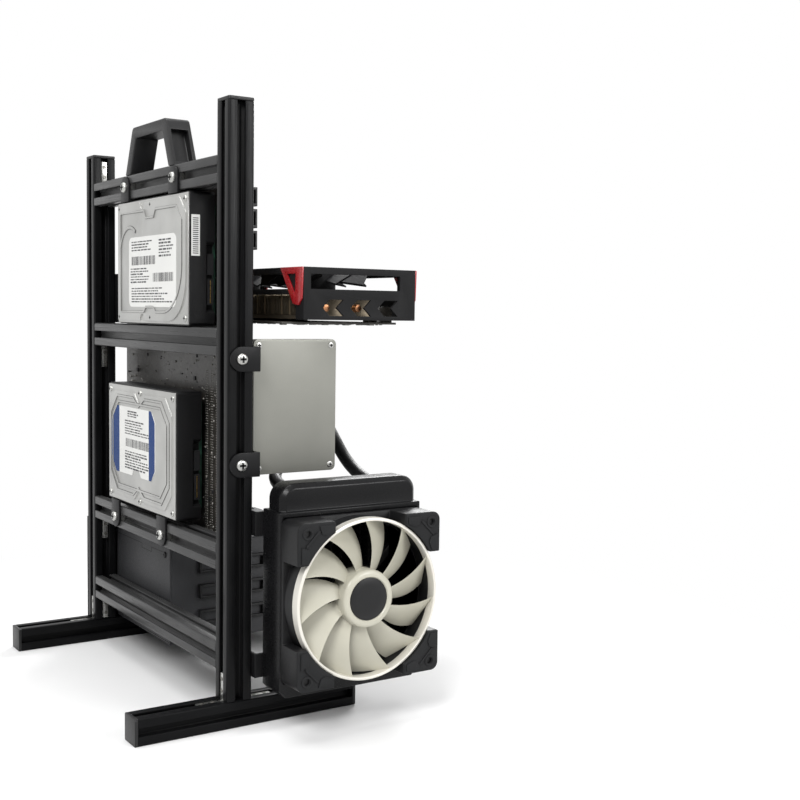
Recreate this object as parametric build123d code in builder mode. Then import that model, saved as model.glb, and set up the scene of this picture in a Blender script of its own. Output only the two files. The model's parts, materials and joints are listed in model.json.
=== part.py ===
from build123d import *
import math
import os

# An open frame of slotted bars that carries a computer's parts in the open air, all sizes in millimetres.
# X runs to the right seen from the mainboard side, Y to the back, Z up from the floor.
# Places are measured from the middle of the frame. The origin is under the middle of the whole bench.

# Slotted bars
profile = 20.0
slot_mouth = 6.2
slot_lip = 1.8
slot_width = 11.0
slot_shoulder = 3.2
slot_floor = 5.6
slot_depth = 6.0
core_bore = 4.2
edge_break = 0.8

# Frame, with lengths taken over the end caps
board_margin = 6.5
left_upright_length = 436.0
right_upright_length = 422.0
foot_length = 180.0
foot_back = 80.0
top_bar_z = 406.5
bottom_bar_z = 50.5
end_cap = 2.5

# Slot connectors and nuts
connector_leg = 20.0
connector_width = 5.4
connector_thick = 3.4
slot_clearance = 0.2
nut_length = 9.0

# Carry handle
handle_base = 102.0
handle_crown = 70.0
handle_height = 38.0
handle_depth = 20.0
handle_leg = 11.0
handle_grip = 9.0
handle_web = 3.0
handle_round = 5.0

# Tab brackets and screws
tab_width = 18.0
tab_thick = 2.0
tab_reach = 15.0
flush_reach = 12.0
flange_length = 22.0
screw_head_radius = 4.3
screw_head_height = 2.2

# Mainboard, with the standard hole pattern
board_width = 244.0
board_height = 304.8
board_thick = 1.6
standoff = 8.0
standoff_radius = 3.2
hole_from_side = 10.16
hole_columns = (0.0, 154.94, 227.33)
row_gap_upper = 124.46
row_gap_lower = 157.48
hole_from_end = 6.35

# Hard drives
drive_length = 147.0
drive_width = 101.6
drive_thick = 26.1
drive_cover_thick = 2.4
field_rise = 1.2
field_inset = 3.0
field_round = 34.0
field_cut = 13.0
rib_inset = 6.0
drive_board_thick = 3.0
drive_back = 12.5
drive_hole = 28.5
drive_hole_gap = 101.6
upper_drive_x = -82.0
lower_drive_x = -58.0
label_length = 98.0
label_height = 57.0
label_thick = 0.3

# Solid-state drive
ssd_length = 100.0
ssd_width = 69.85
ssd_thick = 7.0
ssd_cover_thick = 1.2
ssd_inset = 9.5
ssd_top_z = 284.3
ssd_hole = 14.0
ssd_hole_gap = 76.6

# Radiator and its fan
radiator_depth = 27.0
radiator_width = 120.0
radiator_gap = 6.0
radiator_bottom = 27.0
header_plate = 4.0
top_tank = 24.0
bottom_tank = 11.0
tank_step = 2.0
tank_round = 12.0
tank_bevel = 3.5
channel_thick = 3.0
tube_count = 12
tube_thick = 2.2
fan_hole_inset = 7.5
fan_depth = 25.0
fan_plate = 4.0
fan_corner = 6.0
fan_bore_wall = 4.0
fan_ring_gap = 1.2
fan_ring_wall = 2.2
fan_ring_depth = 8.0
fan_hub_radius = 21.0
fan_blades = 11
fan_strut = 5.0
fan_gap = 0.5
pad_thick = 1.6

# Pump on the processor
pump_from_side = 114.0
pump_z = 193.0
pump_radius = 32.0
pump_height = 44.0
socket_size = 50.0
socket_height = 8.0
bracket_thick = 3.0
bracket_hole_gap = 75.0
boss_reach = 36.0
fitting_gap = 36.0
fitting_radius = 6.5
hose_diameter = 10.0
port_length = 8.0

# Card slots and graphics card
slot_pitch = 20.32
first_slot_drop = 8.3
slot_rows = (0, 1, 2, 5)
card_slot_length = 89.0
card_slot_height = 11.0
card_slot_width = 7.5
card_slot_from_side = 40.0
card_board_thick = 1.6
card_front = -142.0
card_port_gap = 12.5
card_height = 41.0
card_length = 273.0
shroud_set_back = 12.0
shroud_wall = 2.2
shroud_top = 3.0
trim_thick = 1.4
card_fan_radius = 43.0
card_fan_hub = 17.0
card_fan_room = 2.0
card_fan_blades = 9
card_bracket_thick = 0.9
card_bracket_height = 41.0
card_plate_height = 44.0

# Power supply
psu_length = 140.0
psu_width = 150.0
psu_height = 86.0
psu_bottom = 22.0
psu_gap = 2.0
psu_sheet = 1.5
psu_fan_radius = 54.0
psu_fan_hub = 20.0
psu_fan_blades = 7
plate_thick = 2.0
plate_hole = 2.2
hex_pitch = 15.0
hex_radius = 6.9

# Derived places
inner_width = board_width + 2 * board_margin
half = inner_width / 2
upright_x = half + profile / 2
outer_x = half + profile
face = profile / 2
middle_bar_z = top_bar_z - row_gap_upper
lower_bar_z = middle_bar_z - row_gap_lower
board_back = -face - standoff
board_face = board_back - board_thick
board_right = board_width / 2
board_low = lower_bar_z - hole_from_end
pump_x = board_right - pump_from_side
radiator_y = -face - radiator_gap - radiator_width / 2
radiator_z = radiator_bottom + bottom_tank + radiator_width / 2
fan_hole_gap = radiator_width - 2 * fan_hole_inset
fan_bore_radius = radiator_width / 2 - fan_bore_wall
fan_ring_radius = radiator_width / 2 - fan_ring_gap
radiator_inner = -upright_x - tab_reach
radiator_outer = radiator_inner - radiator_depth
fan_front = radiator_outer - fan_depth
psu_back = -face - psu_gap
psu_front = psu_back - psu_width
psu_right = outer_x
psu_left = psu_right - psu_length
psu_top = psu_bottom + psu_height
frame_x = (-fan_front + pad_thick - outer_x - plate_thick - screw_head_height) / 2
frame_y = (-psu_front - foot_back) / 2

os.makedirs("parts", exist_ok=True)


def level(z, x=0.0, y=0.0):
    """A level plane, facing up."""
    return Plane((frame_x + x, frame_y + y, z))


def facing_front(y, x=0.0, z=0.0):
    """An upright plane whose x is X and whose y is Z. It extrudes towards the front."""
    return Plane((frame_x + x, frame_y + y, z), x_dir=(1, 0, 0), z_dir=(0, -1, 0))


def facing_right(x, y=0.0, z=0.0):
    """An upright plane whose x is Y and whose y is Z. It extrudes towards the right."""
    return Plane((frame_x + x, frame_y + y, z), x_dir=(0, 1, 0), z_dir=(1, 0, 0))


def turned(x, y, z, across, outward):
    """A plane at a place of the frame, with its x along one direction and its normal along another."""
    return Plane((frame_x + x, frame_y + y, z), x_dir=across, z_dir=outward)


def block(x, y, z, mode=Mode.ADD):
    """A block between two values of X, of Y and of Z, in the part that is being built."""
    middle = (frame_x + sum(x) / 2, frame_y + sum(y) / 2, sum(z) / 2)
    with Locations(middle):
        Box(abs(x[1] - x[0]), abs(y[1] - y[0]), abs(z[1] - z[0]), mode=mode)


def save(name, builder):
    """Label a finished piece and write it."""
    builder.part.label = name
    export_step(builder.part, f"parts/{name}.step")


# Frame of slotted bars
with BuildSketch() as bar_section:
    Rectangle(profile, profile)
    chamfer(bar_section.vertices(), edge_break)
    with PolarLocations(profile / 2, 4):
        Rectangle(2 * slot_lip + 0.2, slot_mouth, mode=Mode.SUBTRACT)
        Polygon(
            (-slot_lip, -slot_width / 2),
            (-slot_shoulder, -slot_width / 2),
            (-slot_depth, -slot_floor / 2),
            (-slot_depth, slot_floor / 2),
            (-slot_shoulder, slot_width / 2),
            (-slot_lip, slot_width / 2),
            align=None,
            mode=Mode.SUBTRACT,
        )
    RegularPolygon(core_bore / 2, 8, mode=Mode.SUBTRACT)


def slotted_bar(plane, length):
    """A length of slotted bar that starts on a plane."""
    with BuildPart() as bar:
        with BuildSketch(plane):
            add(bar_section.sketch)
        extrude(amount=length)
    return bar


foot_bar = foot_length - 2 * end_cap
foot_start = foot_back - end_cap
bars = {
    "left_upright": (level(profile, -upright_x), left_upright_length - end_cap),
    "right_upright": (level(profile, upright_x), right_upright_length - end_cap),
    "left_foot": (facing_front(foot_start, -upright_x, profile / 2), foot_bar),
    "right_foot": (facing_front(foot_start, upright_x, profile / 2), foot_bar),
    "top_crossbar": (facing_right(-half, 0, top_bar_z), inner_width),
    "middle_crossbar": (facing_right(-half, 0, middle_bar_z), inner_width),
    "lower_crossbar": (facing_right(-half, 0, lower_bar_z), inner_width),
    "bottom_crossbar": (facing_right(-half, 0, bottom_bar_z), inner_width),
}
for name, (plane, length) in bars.items():
    save(name, slotted_bar(plane, length))

# Caps that close the ends of the feet and the tops of the uprights
cap_places = [
    level(profile + left_upright_length - end_cap, -upright_x),
    level(profile + right_upright_length - end_cap, upright_x),
]
for side in (-1, 1):
    for y in (foot_back, foot_start - foot_bar):
        cap_places.append(facing_front(y, side * upright_x, profile / 2))
with BuildPart() as end_caps:
    for plane in cap_places:
        with BuildSketch(plane) as cap:
            outline = Rectangle(profile, profile)
            chamfer(outline.vertices(), edge_break)
        extrude(amount=end_cap)
save("end_caps", end_caps)

# Angle connectors that lie in the slots of two bars where they meet
connector_places = []
for side in (-1, 1):
    inwards = Vector(-side, 0, 0)
    for bar_z, up in ((top_bar_z, 1), (middle_bar_z, -1), (lower_bar_z, -1), (bottom_bar_z, -1)):
        upwards = Vector(0, 0, up)
        connector_places.append(turned(side * half, 0, bar_z + up * face, inwards, inwards.cross(upwards)))
    for end in (-1, 1):
        along = Vector(0, end, 0)
        across = along.cross(Vector(0, 0, 1))
        connector_places.append(turned(side * upright_x, end * face, profile, along, across))

with BuildPart() as corner_connectors:
    root = -slot_depth + slot_clearance
    step = root + connector_thick
    for plane in connector_places:
        with BuildSketch(plane):
            Polygon(
                (root, root),
                (connector_leg, root),
                (connector_leg, step),
                (step, step),
                (step, connector_leg),
                (root, connector_leg),
                align=None,
            )
        extrude(amount=connector_width / 2, both=True)
save("corner_connectors", corner_connectors)

# Carry handle: two leaning legs under a grip, with the outer side of each leg hollowed
with BuildPart() as handle:
    handle_foot = top_bar_z + face
    lean = (handle_base - handle_crown) / 2 / handle_height
    window_height = handle_height - handle_grip
    window_base = handle_base / 2 - handle_leg
    window_top = window_base - lean * window_height
    with BuildSketch(facing_front(handle_depth / 2, 0, handle_foot)) as handle_outline:
        Polygon(
            (-handle_base / 2, 0),
            (handle_base / 2, 0),
            (handle_crown / 2, handle_height),
            (-handle_crown / 2, handle_height),
            align=None,
        )
        fillet(handle_outline.vertices().group_by(Axis.Y)[-1], handle_round)
        Polygon(
            (-window_base, 0),
            (window_base, 0),
            (window_top, window_height),
            (-window_top, window_height),
            align=None,
            mode=Mode.SUBTRACT,
        )
    extrude(amount=handle_depth)
    pocket_low = handle_web
    pocket_high = handle_height - handle_grip
    with BuildSketch(facing_front(handle_depth / 2 - handle_web, 0, handle_foot)):
        for side in (-1, 1):
            Polygon(
                (side * (handle_base / 2 - lean * pocket_low + 1), pocket_low),
                (side * (handle_base / 2 - lean * pocket_high + 1), pocket_high),
                (side * (handle_base / 2 - lean * pocket_high - handle_leg + handle_web), pocket_high),
                (side * (handle_base / 2 - lean * pocket_low - handle_leg + handle_web), pocket_low),
                align=None,
            )
    extrude(amount=handle_depth - 2 * handle_web, mode=Mode.SUBTRACT)
save("handle", handle)

# Tab brackets: each place is a screw on a bar's face, with the plane's x towards the flange
upper_holes = [upper_drive_x + drive_hole + step * drive_hole_gap for step in (0, 1)]
lower_holes = [lower_drive_x + drive_hole + step * drive_hole_gap for step in (0, 1)]
ssd_holes = [ssd_top_z - ssd_hole - step * ssd_hole_gap for step in (0, 1)]
radiator_holes = [radiator_z + side * fan_hole_gap / 2 for side in (-1, 1)]
wrapped_tabs = [(turned(x, face, top_bar_z, (0, 0, -1), (0, 1, 0)), flush_reach) for x in upper_holes]
wrapped_tabs += [(turned(x, face, lower_bar_z, (0, 0, 1), (0, 1, 0)), tab_reach) for x in lower_holes]
wrapped_tabs += [(turned(-outer_x, 0, z, (0, -1, 0), (-1, 0, 0)), tab_reach) for z in ssd_holes]
outward_tabs = [(turned(-upright_x, -face, z, (-1, 0, 0), (0, -1, 0)), tab_reach) for z in radiator_holes]

with BuildPart() as tab_brackets:
    for plane, reach in wrapped_tabs + outward_tabs:
        with BuildSketch(plane):
            Circle(tab_width / 2)
            with Locations((reach / 2, 0)):
                Rectangle(reach, tab_width)
        extrude(amount=tab_thick)
    for plane, reach in wrapped_tabs:
        with BuildSketch(plane.offset(tab_thick)):
            with Locations((reach - tab_thick / 2, 0)):
                Rectangle(tab_thick, tab_width)
        extrude(amount=-flange_length)
    for plane, reach in outward_tabs:
        with BuildSketch(plane):
            with Locations((reach - tab_thick / 2, 0)):
                Rectangle(tab_thick, tab_width)
        extrude(amount=flange_length)
save("tab_brackets", tab_brackets)

# Plate that ties the power supply to the right upright and foot
plate_low = psu_bottom - 4
plate_high = psu_top + 5
arm_end = psu_back - 26
arm_root = psu_back - 4
arm_height = 19.0
with BuildPart() as psu_bracket:
    with BuildSketch(facing_right(outer_x)):
        Polygon(
            (face, plate_low),
            (face, plate_high),
            (arm_end, plate_high),
            (arm_end, plate_high - arm_height),
            (arm_root, plate_high - arm_height),
            (arm_root, plate_low + arm_height),
            (arm_end, plate_low + arm_height),
            (arm_end, plate_low),
            align=None,
        )
        with Locations((arm_end + 8, plate_high - 9), (arm_end + 8, plate_low + 9), (0, plate_high - 9)):
            RegularPolygon(plate_hole, 8, mode=Mode.SUBTRACT)
    extrude(amount=plate_thick)
save("psu_bracket", psu_bracket)

# Angle plate that holds the graphics card's port bracket on the right upright
card_z = top_bar_z - first_slot_drop - slot_rows[-1] * slot_pitch
card_plate_left = board_right + 0.5
card_bracket_x = card_plate_left + plate_thick
card_plate_low = card_z - 4
with BuildPart() as card_plate:
    with BuildSketch(level(card_plate_low)):
        Polygon(
            (outer_x, -face),
            (card_plate_left, -face),
            (card_plate_left, -face - 20),
            (card_bracket_x, -face - 20),
            (card_bracket_x, -face - plate_thick),
            (outer_x, -face - plate_thick),
            align=None,
        )
    extrude(amount=card_plate_height)
save("card_plate", card_plate)

# Screws that hold brackets and plates, and the nuts behind them in the slots
bar_screws = [(plane, tab_thick) for plane, reach in wrapped_tabs + outward_tabs]
for step in (0.3, 0.7):
    z = card_plate_low + step * card_plate_height
    bar_screws.append((turned(upright_x, -face, z, (1, 0, 0), (0, -1, 0)), plate_thick))
bar_screws.append((turned(outer_x, 0, psu_bottom + 30, (0, 1, 0), (1, 0, 0)), plate_thick))
psu_screw_y = psu_back - 6
psu_screw_zs = (psu_bottom + 6, psu_top - 6)
plate_screws = [turned(outer_x, psu_screw_y, z, (0, 1, 0), (1, 0, 0)) for z in psu_screw_zs]

with BuildPart() as frame_screws:
    for plane, seat in bar_screws + [(plane, plate_thick) for plane in plate_screws]:
        with BuildSketch(plane.offset(seat)):
            RegularPolygon(screw_head_radius, 12)
        extrude(amount=screw_head_height)
save("frame_screws", frame_screws)

with BuildPart() as slot_nuts:
    nut_top = slot_lip + slot_clearance / 2
    nut_foot = slot_depth - slot_clearance
    for plane, seat in bar_screws:
        with BuildSketch(Plane(plane.origin, x_dir=plane.x_dir, z_dir=plane.y_dir)):
            Polygon(
                (-slot_width / 2 + slot_clearance, nut_top),
                (slot_width / 2 - slot_clearance, nut_top),
                (slot_width / 2 - slot_clearance, slot_shoulder - slot_clearance),
                (slot_floor / 2 - slot_clearance, nut_foot),
                (-slot_floor / 2 + slot_clearance, nut_foot),
                (-slot_width / 2 + slot_clearance, slot_shoulder - slot_clearance),
                align=None,
            )
        extrude(amount=nut_length / 2, both=True)
save("slot_nuts", slot_nuts)

# Mainboard with its stand-offs and screws
hole_xs = [board_right - hole_from_side - column for column in hole_columns]
hole_zs = [top_bar_z, middle_bar_z, lower_bar_z]
with BuildPart() as mainboard:
    block((-board_right, board_right), (board_face, board_back), (board_low, board_low + board_height))
save("mainboard", mainboard)

with BuildPart() as standoffs:
    with BuildSketch(facing_front(-face)):
        with Locations([(x, z) for x in hole_xs for z in hole_zs]):
            RegularPolygon(standoff_radius, 6)
    extrude(amount=standoff)
save("standoffs", standoffs)

# Card slots, each with a groove for the card's edge
slot_right = board_right - card_slot_from_side
slot_zs = [top_bar_z - first_slot_drop - row * slot_pitch for row in slot_rows]
groove = card_board_thick + 0.4
with BuildPart() as card_slots:
    for z in slot_zs:
        block(
            (slot_right - card_slot_length, slot_right),
            (board_face, board_face - card_slot_height),
            (z - card_slot_width / 2, z + card_slot_width / 2),
        )
        block(
            (slot_right - card_slot_length + 2, slot_right - 2),
            (board_face - 3, board_face - card_slot_height),
            (z - groove / 2, z + groove / 2),
            Mode.SUBTRACT,
        )
save("card_slots", card_slots)

# Memory slots, with a raised latch at each end
memory_length = 134.0
memory_low = board_low + 10
memory_pitch = 9.5
memory_right = pump_x - pump_radius - 28
with BuildPart() as memory_slots:
    for step in range(4):
        x = memory_right - step * memory_pitch
        ends = (memory_low, memory_low + memory_length)
        block((x - 3.2, x + 3.2), (board_face, board_face - 7), ends)
        block((x - 1, x + 1), (board_face - 2.5, board_face - 7), (ends[0] + 6, ends[1] - 6), Mode.SUBTRACT)
        block((x - 2.6, x + 2.6), (board_face - 7, board_face - 12), (ends[0], ends[0] + 6))
        block((x - 2.6, x + 2.6), (board_face - 7, board_face - 12), (ends[1] - 6, ends[1]))
save("memory_slots", memory_slots)

# Finned heatsinks: a block over the middle of the board and a column beside the ports
with BuildPart() as chipset_heatsink:
    fin_low = card_z - 46
    span = (board_right - 128, board_right - 76)
    block(span, (board_face, board_face - 8), (fin_low, fin_low + 38))
    for step in range(5):
        z = fin_low + step * 9
        block(span, (board_face - 8, board_face - 17), (z, z + 2))
save("chipset_heatsink", chipset_heatsink)

with BuildPart() as power_heatsink:
    fin_low = board_low + 22
    span = (board_right - 61, board_right - 43)
    block(span, (board_face, board_face - 10), (fin_low, fin_low + 80))
    block(span, (board_face - 10, board_face - 28), (fin_low, fin_low + 18))
    for step in range(9):
        z = fin_low + 22 + step * 7
        block(span, (board_face - 10, board_face - 28), (z, z + 2.6))
save("power_heatsink", power_heatsink)

# Ports along the right edge, each open to the right
port_right = board_right + 2
with BuildPart() as audio_jacks:
    z = board_low + 139.5
    block((port_right - 28, port_right), (board_face, board_face - 36), (z - 6.5, z + 6.5))
    with BuildSketch(facing_right(port_right, 0, z)):
        with Locations([(board_face - 6 - step * 12, 0) for step in range(3)]):
            RegularPolygon(4.4, 12)
            RegularPolygon(2, 8, mode=Mode.SUBTRACT)
    extrude(amount=1.2)
save("audio_jacks", audio_jacks)

network_z = board_low + 113.5
usb_zs = [board_low + rise for rise in (34, 60, 87)]
mouth = (port_right - 3, port_right)
with BuildPart() as port_towers:
    for z in usb_zs:
        block((port_right - 17, port_right), (board_face, board_face - 17), (z - 7, z + 7))
    block((port_right - 30, port_right), (board_face, board_face - 31), (network_z - 8, network_z + 8))
    for z in usb_zs + [network_z]:
        for low in (board_face - 2, board_face - 9.5):
            block(mouth, (low, low - 5), (z - 6, z + 6), Mode.SUBTRACT)
    block(mouth, (board_face - 17.5, board_face - 29), (network_z - 6, network_z + 6), Mode.SUBTRACT)
save("port_towers", port_towers)

with BuildPart() as mouse_port:
    z = board_low + 9.5
    block((port_right - 25, port_right), (board_face, board_face - 31), (z - 7, z + 7))
    with BuildSketch(facing_right(port_right, 0, z)):
        with Locations((board_face - 8, 0), (board_face - 23, 0)):
            RegularPolygon(6.2, 12)
            RegularPolygon(4.4, 12, mode=Mode.SUBTRACT)
    extrude(amount=1)
save("mouse_port", mouse_port)

# Sockets for power and data cables
with BuildPart() as cable_sockets:
    main_z = board_low + 72
    block((-board_right + 1, -board_right + 12), (board_face, board_face - 13), (main_z, main_z + 52))
    processor_power = (board_right - 52, board_right - 30)
    block(processor_power, (board_face, board_face - 13), (board_low + 2, board_low + 13))
    for step in range(3):
        z = board_low + 232 + step * 16
        block((-board_right, -board_right + 16), (board_face, board_face - 6.5), (z, z + 14))
        inside = (board_face - 1.5, board_face - 5)
        block((-board_right, -board_right + 3), inside, (z + 2, z + 12), Mode.SUBTRACT)
save("cable_sockets", cable_sockets)


# Hard drives: a cast base with the connectors at its left end, a pressed cover, a label and a circuit board
def drive_base(left, low):
    """The cast tray, notched for its connectors, with a step along its front."""
    tray_front = drive_back - drive_thick + drive_board_thick
    with BuildPart() as base:
        depth = (drive_back - drive_cover_thick, tray_front)
        block((left, left + drive_length), depth, (low, low + drive_width))
        block((left, left + 5), (tray_front + 7, tray_front), (low + 12, low + 62), Mode.SUBTRACT)
        chamfer(base.edges().filter_by(Axis.Y), 2)
    return base


def drive_cover(left, low, field):
    """The pressed lid: a flange on the tray, and a raised field drawn from the drive's left lower end."""
    with BuildPart() as cover:
        with BuildSketch(facing_front(drive_back - field_rise, left, low)):
            with Locations((drive_length / 2, drive_width / 2)):
                Rectangle(drive_length - 2, drive_width - 2)
        extrude(amount=drive_cover_thick - field_rise)
        with BuildSketch(facing_front(drive_back, left, low)):
            add(field.sketch)
        extrude(amount=field_rise)
    return cover


# The upper lid is rounded at one corner and cut at another, with a bay at a screw above and below
with BuildSketch() as round_field:
    with Locations((drive_length / 2, drive_width / 2)):
        Rectangle(drive_length - 2 * field_inset, drive_width - 2 * field_inset)
    fillet(round_field.vertices().group_by(Axis.X)[0].sort_by(Axis.Y)[0], field_round)
    chamfer(round_field.vertices().group_by(Axis.Y)[-1].sort_by(Axis.X)[0], field_cut)
    bay_x = drive_length * 0.61
    with Locations((bay_x, field_inset), (bay_x, drive_width - field_inset)):
        RegularPolygon(5.5, 12, mode=Mode.SUBTRACT)

# The lower lid has cut corners, a V above and below, and a rib round its middle
with BuildSketch() as ribbed_field:
    with Locations((drive_length / 2, drive_width / 2)):
        plate = Rectangle(drive_length - 2 * rib_inset, drive_width - 2 * rib_inset)
        chamfer(plate.vertices(), field_cut)
        with Locations((0, drive_width / 2 - rib_inset), (0, rib_inset - drive_width / 2)):
            Rectangle(15, 15, rotation=45, mode=Mode.SUBTRACT)

upper_drive_low = top_bar_z - flush_reach - drive_width
lower_drive_low = lower_bar_z + tab_reach
drives = (
    ("upper", upper_drive_x, upper_drive_low, round_field, (20, 14)),
    ("lower", lower_drive_x, lower_drive_low, ribbed_field, (38, 26)),
)
for row, left, low, field, label_corner in drives:
    save(f"{row}_drive_base", drive_base(left, low))
    save(f"{row}_drive_cover", drive_cover(left, low, field))

with BuildPart() as drive_labels:
    for row, left, low, field, label_corner in drives:
        with BuildSketch(facing_front(drive_back, left + label_corner[0], low + label_corner[1])):
            label = Rectangle(label_length, label_height, align=(Align.MIN, Align.MIN))
            chamfer(label.vertices(), 4)
        extrude(amount=-label_thick)
save("drive_labels", drive_labels)

with BuildPart() as drive_boards:
    board_edge = drive_back - drive_thick
    for row, left, low, field, label_corner in drives:
        span = (low + 8, low + drive_width - 8)
        block((left + 6, left + 112), (board_edge, board_edge + drive_board_thick), span)
save("drive_boards", drive_boards)

# Solid-state drive: case with a connector mouth at its upper end, and a flat cover
ssd_back = -tab_reach
ssd_outer = -outer_x + ssd_inset
ssd_middle_y = ssd_back - ssd_width / 2
ssd_middle_z = ssd_top_z - ssd_length / 2
with BuildPart() as ssd_case:
    with BuildSketch(facing_right(ssd_outer + ssd_cover_thick, ssd_middle_y, ssd_middle_z)):
        RectangleRounded(ssd_width, ssd_length, 4)
    extrude(amount=ssd_thick - ssd_cover_thick)
    block(
        (ssd_outer + 2.2, ssd_outer + ssd_thick - 1),
        (ssd_back - 12, ssd_back - 52),
        (ssd_top_z - 6, ssd_top_z),
        Mode.SUBTRACT,
    )
save("ssd_case", ssd_case)

with BuildPart() as ssd_cover:
    with BuildSketch(facing_right(ssd_outer, ssd_middle_y, ssd_middle_z)):
        RectangleRounded(ssd_width, ssd_length, 4)
    extrude(amount=ssd_cover_thick)
save("ssd_cover", ssd_cover)

# Radiator: tanks and side channels around a core of flat tubes
core_low = radiator_z - radiator_width / 2
core_high = radiator_z + radiator_width / 2
rear_side = radiator_y + radiator_width / 2
fore_side = radiator_y - radiator_width / 2
with BuildPart() as radiator_frame:
    cap_low = core_high + header_plate
    cap_height = top_tank - header_plate
    with BuildSketch(facing_right(radiator_outer + tank_step, radiator_y, cap_low)) as cap_outline:
        cap_width = radiator_width - 2 * tank_step
        cap = Rectangle(cap_width, cap_height, align=(Align.CENTER, Align.MIN))
        fillet(cap.vertices().group_by(Axis.Y)[-1], tank_round)
    extrude(amount=radiator_depth - 2 * tank_step)
    for end_face in radiator_frame.faces().filter_by(Axis.X):
        chamfer(end_face.edges().sort_by(Axis.Z)[1:], tank_bevel)
    block((radiator_outer, radiator_inner), (rear_side, fore_side), (core_high, cap_low))
    with BuildSketch(facing_right(radiator_outer, radiator_y, core_low)):
        foot = Rectangle(radiator_width, bottom_tank, align=(Align.CENTER, Align.MAX))
        chamfer(foot.vertices().group_by(Axis.Y)[0], bottom_tank / 2)
    extrude(amount=radiator_depth)
    for wall in ((rear_side, rear_side - channel_thick), (fore_side, fore_side + channel_thick)):
        block((radiator_outer, radiator_inner), wall, (core_low, core_high))
save("radiator_frame", radiator_frame)

with BuildPart() as radiator_core:
    web = 8.0
    room = radiator_width - 2 * channel_thick
    tube_pitch = room / tube_count
    block(
        (radiator_outer + web, radiator_inner - web),
        (rear_side - channel_thick, fore_side + channel_thick),
        (core_low, core_high),
    )
    for step in range(tube_count):
        y = rear_side - channel_thick - (step + 0.5) * tube_pitch
        tube = (y - tube_thick / 2, y + tube_thick / 2)
        block((radiator_outer + 2, radiator_inner - 2), tube, (core_low, core_high))
save("radiator_core", radiator_core)


# Fans: each blade is a tilted sheet cut to a swept outline, and the ringed fan's blades are bowed as well
def fan_blade(root, tip, root_chord, tip_angle, sweep_angle, pitch, thick, bow=0.0):
    """One blade about the Z axis, from inside the hub to the tip."""

    def at(radius, degrees):
        turn = math.radians(degrees)
        return Vector(radius * math.cos(turn), radius * math.sin(turn))

    front_root = Vector(root, root_chord / 2)
    rear_root = Vector(root, -root_chord / 2)
    front_tip = at(tip, tip_angle / 2 - sweep_angle)
    rear_tip = at(tip, -tip_angle / 2 - sweep_angle)
    front_middle = at((root + tip) / 2, tip_angle / 2 - 0.35 * sweep_angle)
    rear_middle = at((root + tip) / 2, -tip_angle / 2 - 0.35 * sweep_angle)
    lean = (at(tip, -sweep_angle) - Vector(root, 0)).normalized()
    across = lean.rotate(Axis.Z, 90)
    tilt = math.radians(pitch)
    sheet_x = across * math.cos(tilt) + Vector(0, 0, 1) * math.sin(tilt)
    with BuildPart() as blade:
        with BuildSketch(Plane(lean * -tip, x_dir=sheet_x, z_dir=lean).move(Location((root, 0, 0)))):
            if bow:
                with BuildLine():
                    ThreePointArc((-tip / 2, -bow), (0, 0), (tip / 2, -bow))
                trace(line_width=thick)
            else:
                Rectangle(tip, thick)
        extrude(amount=3 * tip)
        with BuildSketch():
            if bow:
                with BuildLine():
                    ThreePointArc(front_root, front_middle, front_tip)
                    ThreePointArc(front_tip, at(tip, -sweep_angle), rear_tip)
                    ThreePointArc(rear_tip, rear_middle, rear_root)
                    Line(rear_root, front_root)
                make_face()
            else:
                Polygon(front_root, front_tip, rear_tip, rear_root, align=None)
        extrude(amount=tip, both=True, mode=Mode.INTERSECT)
    return blade.part


def fan_rotor(plane, hub_radius, tip_radius, depth, count, blade, ring_wall=0.0, ring_depth=0.0):
    """A hub that starts on a plane, with blades around it and, if asked, a ring round their tips."""
    with BuildPart(plane) as rotor:
        Cylinder(hub_radius, depth, align=(Align.CENTER, Align.CENTER, Align.MIN))
        chamfer(rotor.faces().sort_by(Axis(plane.origin, plane.z_dir))[-1].edges(), 1)
        with Locations((0, 0, depth / 2)):
            with PolarLocations(0, count):
                add(blade)
        if ring_wall:
            with BuildSketch(plane.offset(depth - ring_depth)):
                Circle(tip_radius)
                Circle(tip_radius - ring_wall, mode=Mode.SUBTRACT)
            extrude(amount=ring_depth)
    return rotor


facing_left = turned(radiator_outer, radiator_y, radiator_z, (0, -1, 0), (-1, 0, 0))
ring_inner = fan_ring_radius - fan_ring_wall
ring_blade = fan_blade(fan_hub_radius - 3, ring_inner + 0.3, 9.0, 29.0, -14.0, 28.0, 1.6, 4.0)
rotor_start = fan_plate + fan_gap
rotor_depth = fan_depth - rotor_start - fan_gap
rotor_plane = facing_left.offset(rotor_start)
ring_fan = fan_rotor(
    rotor_plane,
    fan_hub_radius,
    fan_ring_radius,
    rotor_depth,
    fan_blades,
    ring_blade,
    fan_ring_wall,
    fan_ring_depth,
)
save("fan_rotor", ring_fan)

# Fan frame: a rear plate with struts to the motor seat, and four corner posts round the open ring
with BuildSketch() as fan_corners:
    RectangleRounded(radiator_width, radiator_width, fan_corner)
    Circle(fan_ring_radius + 2 * fan_gap, mode=Mode.SUBTRACT)
    with PolarLocations(radiator_width / 2, 4):
        Rectangle(radiator_width / 4, radiator_width * 0.5, mode=Mode.SUBTRACT)

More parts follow.
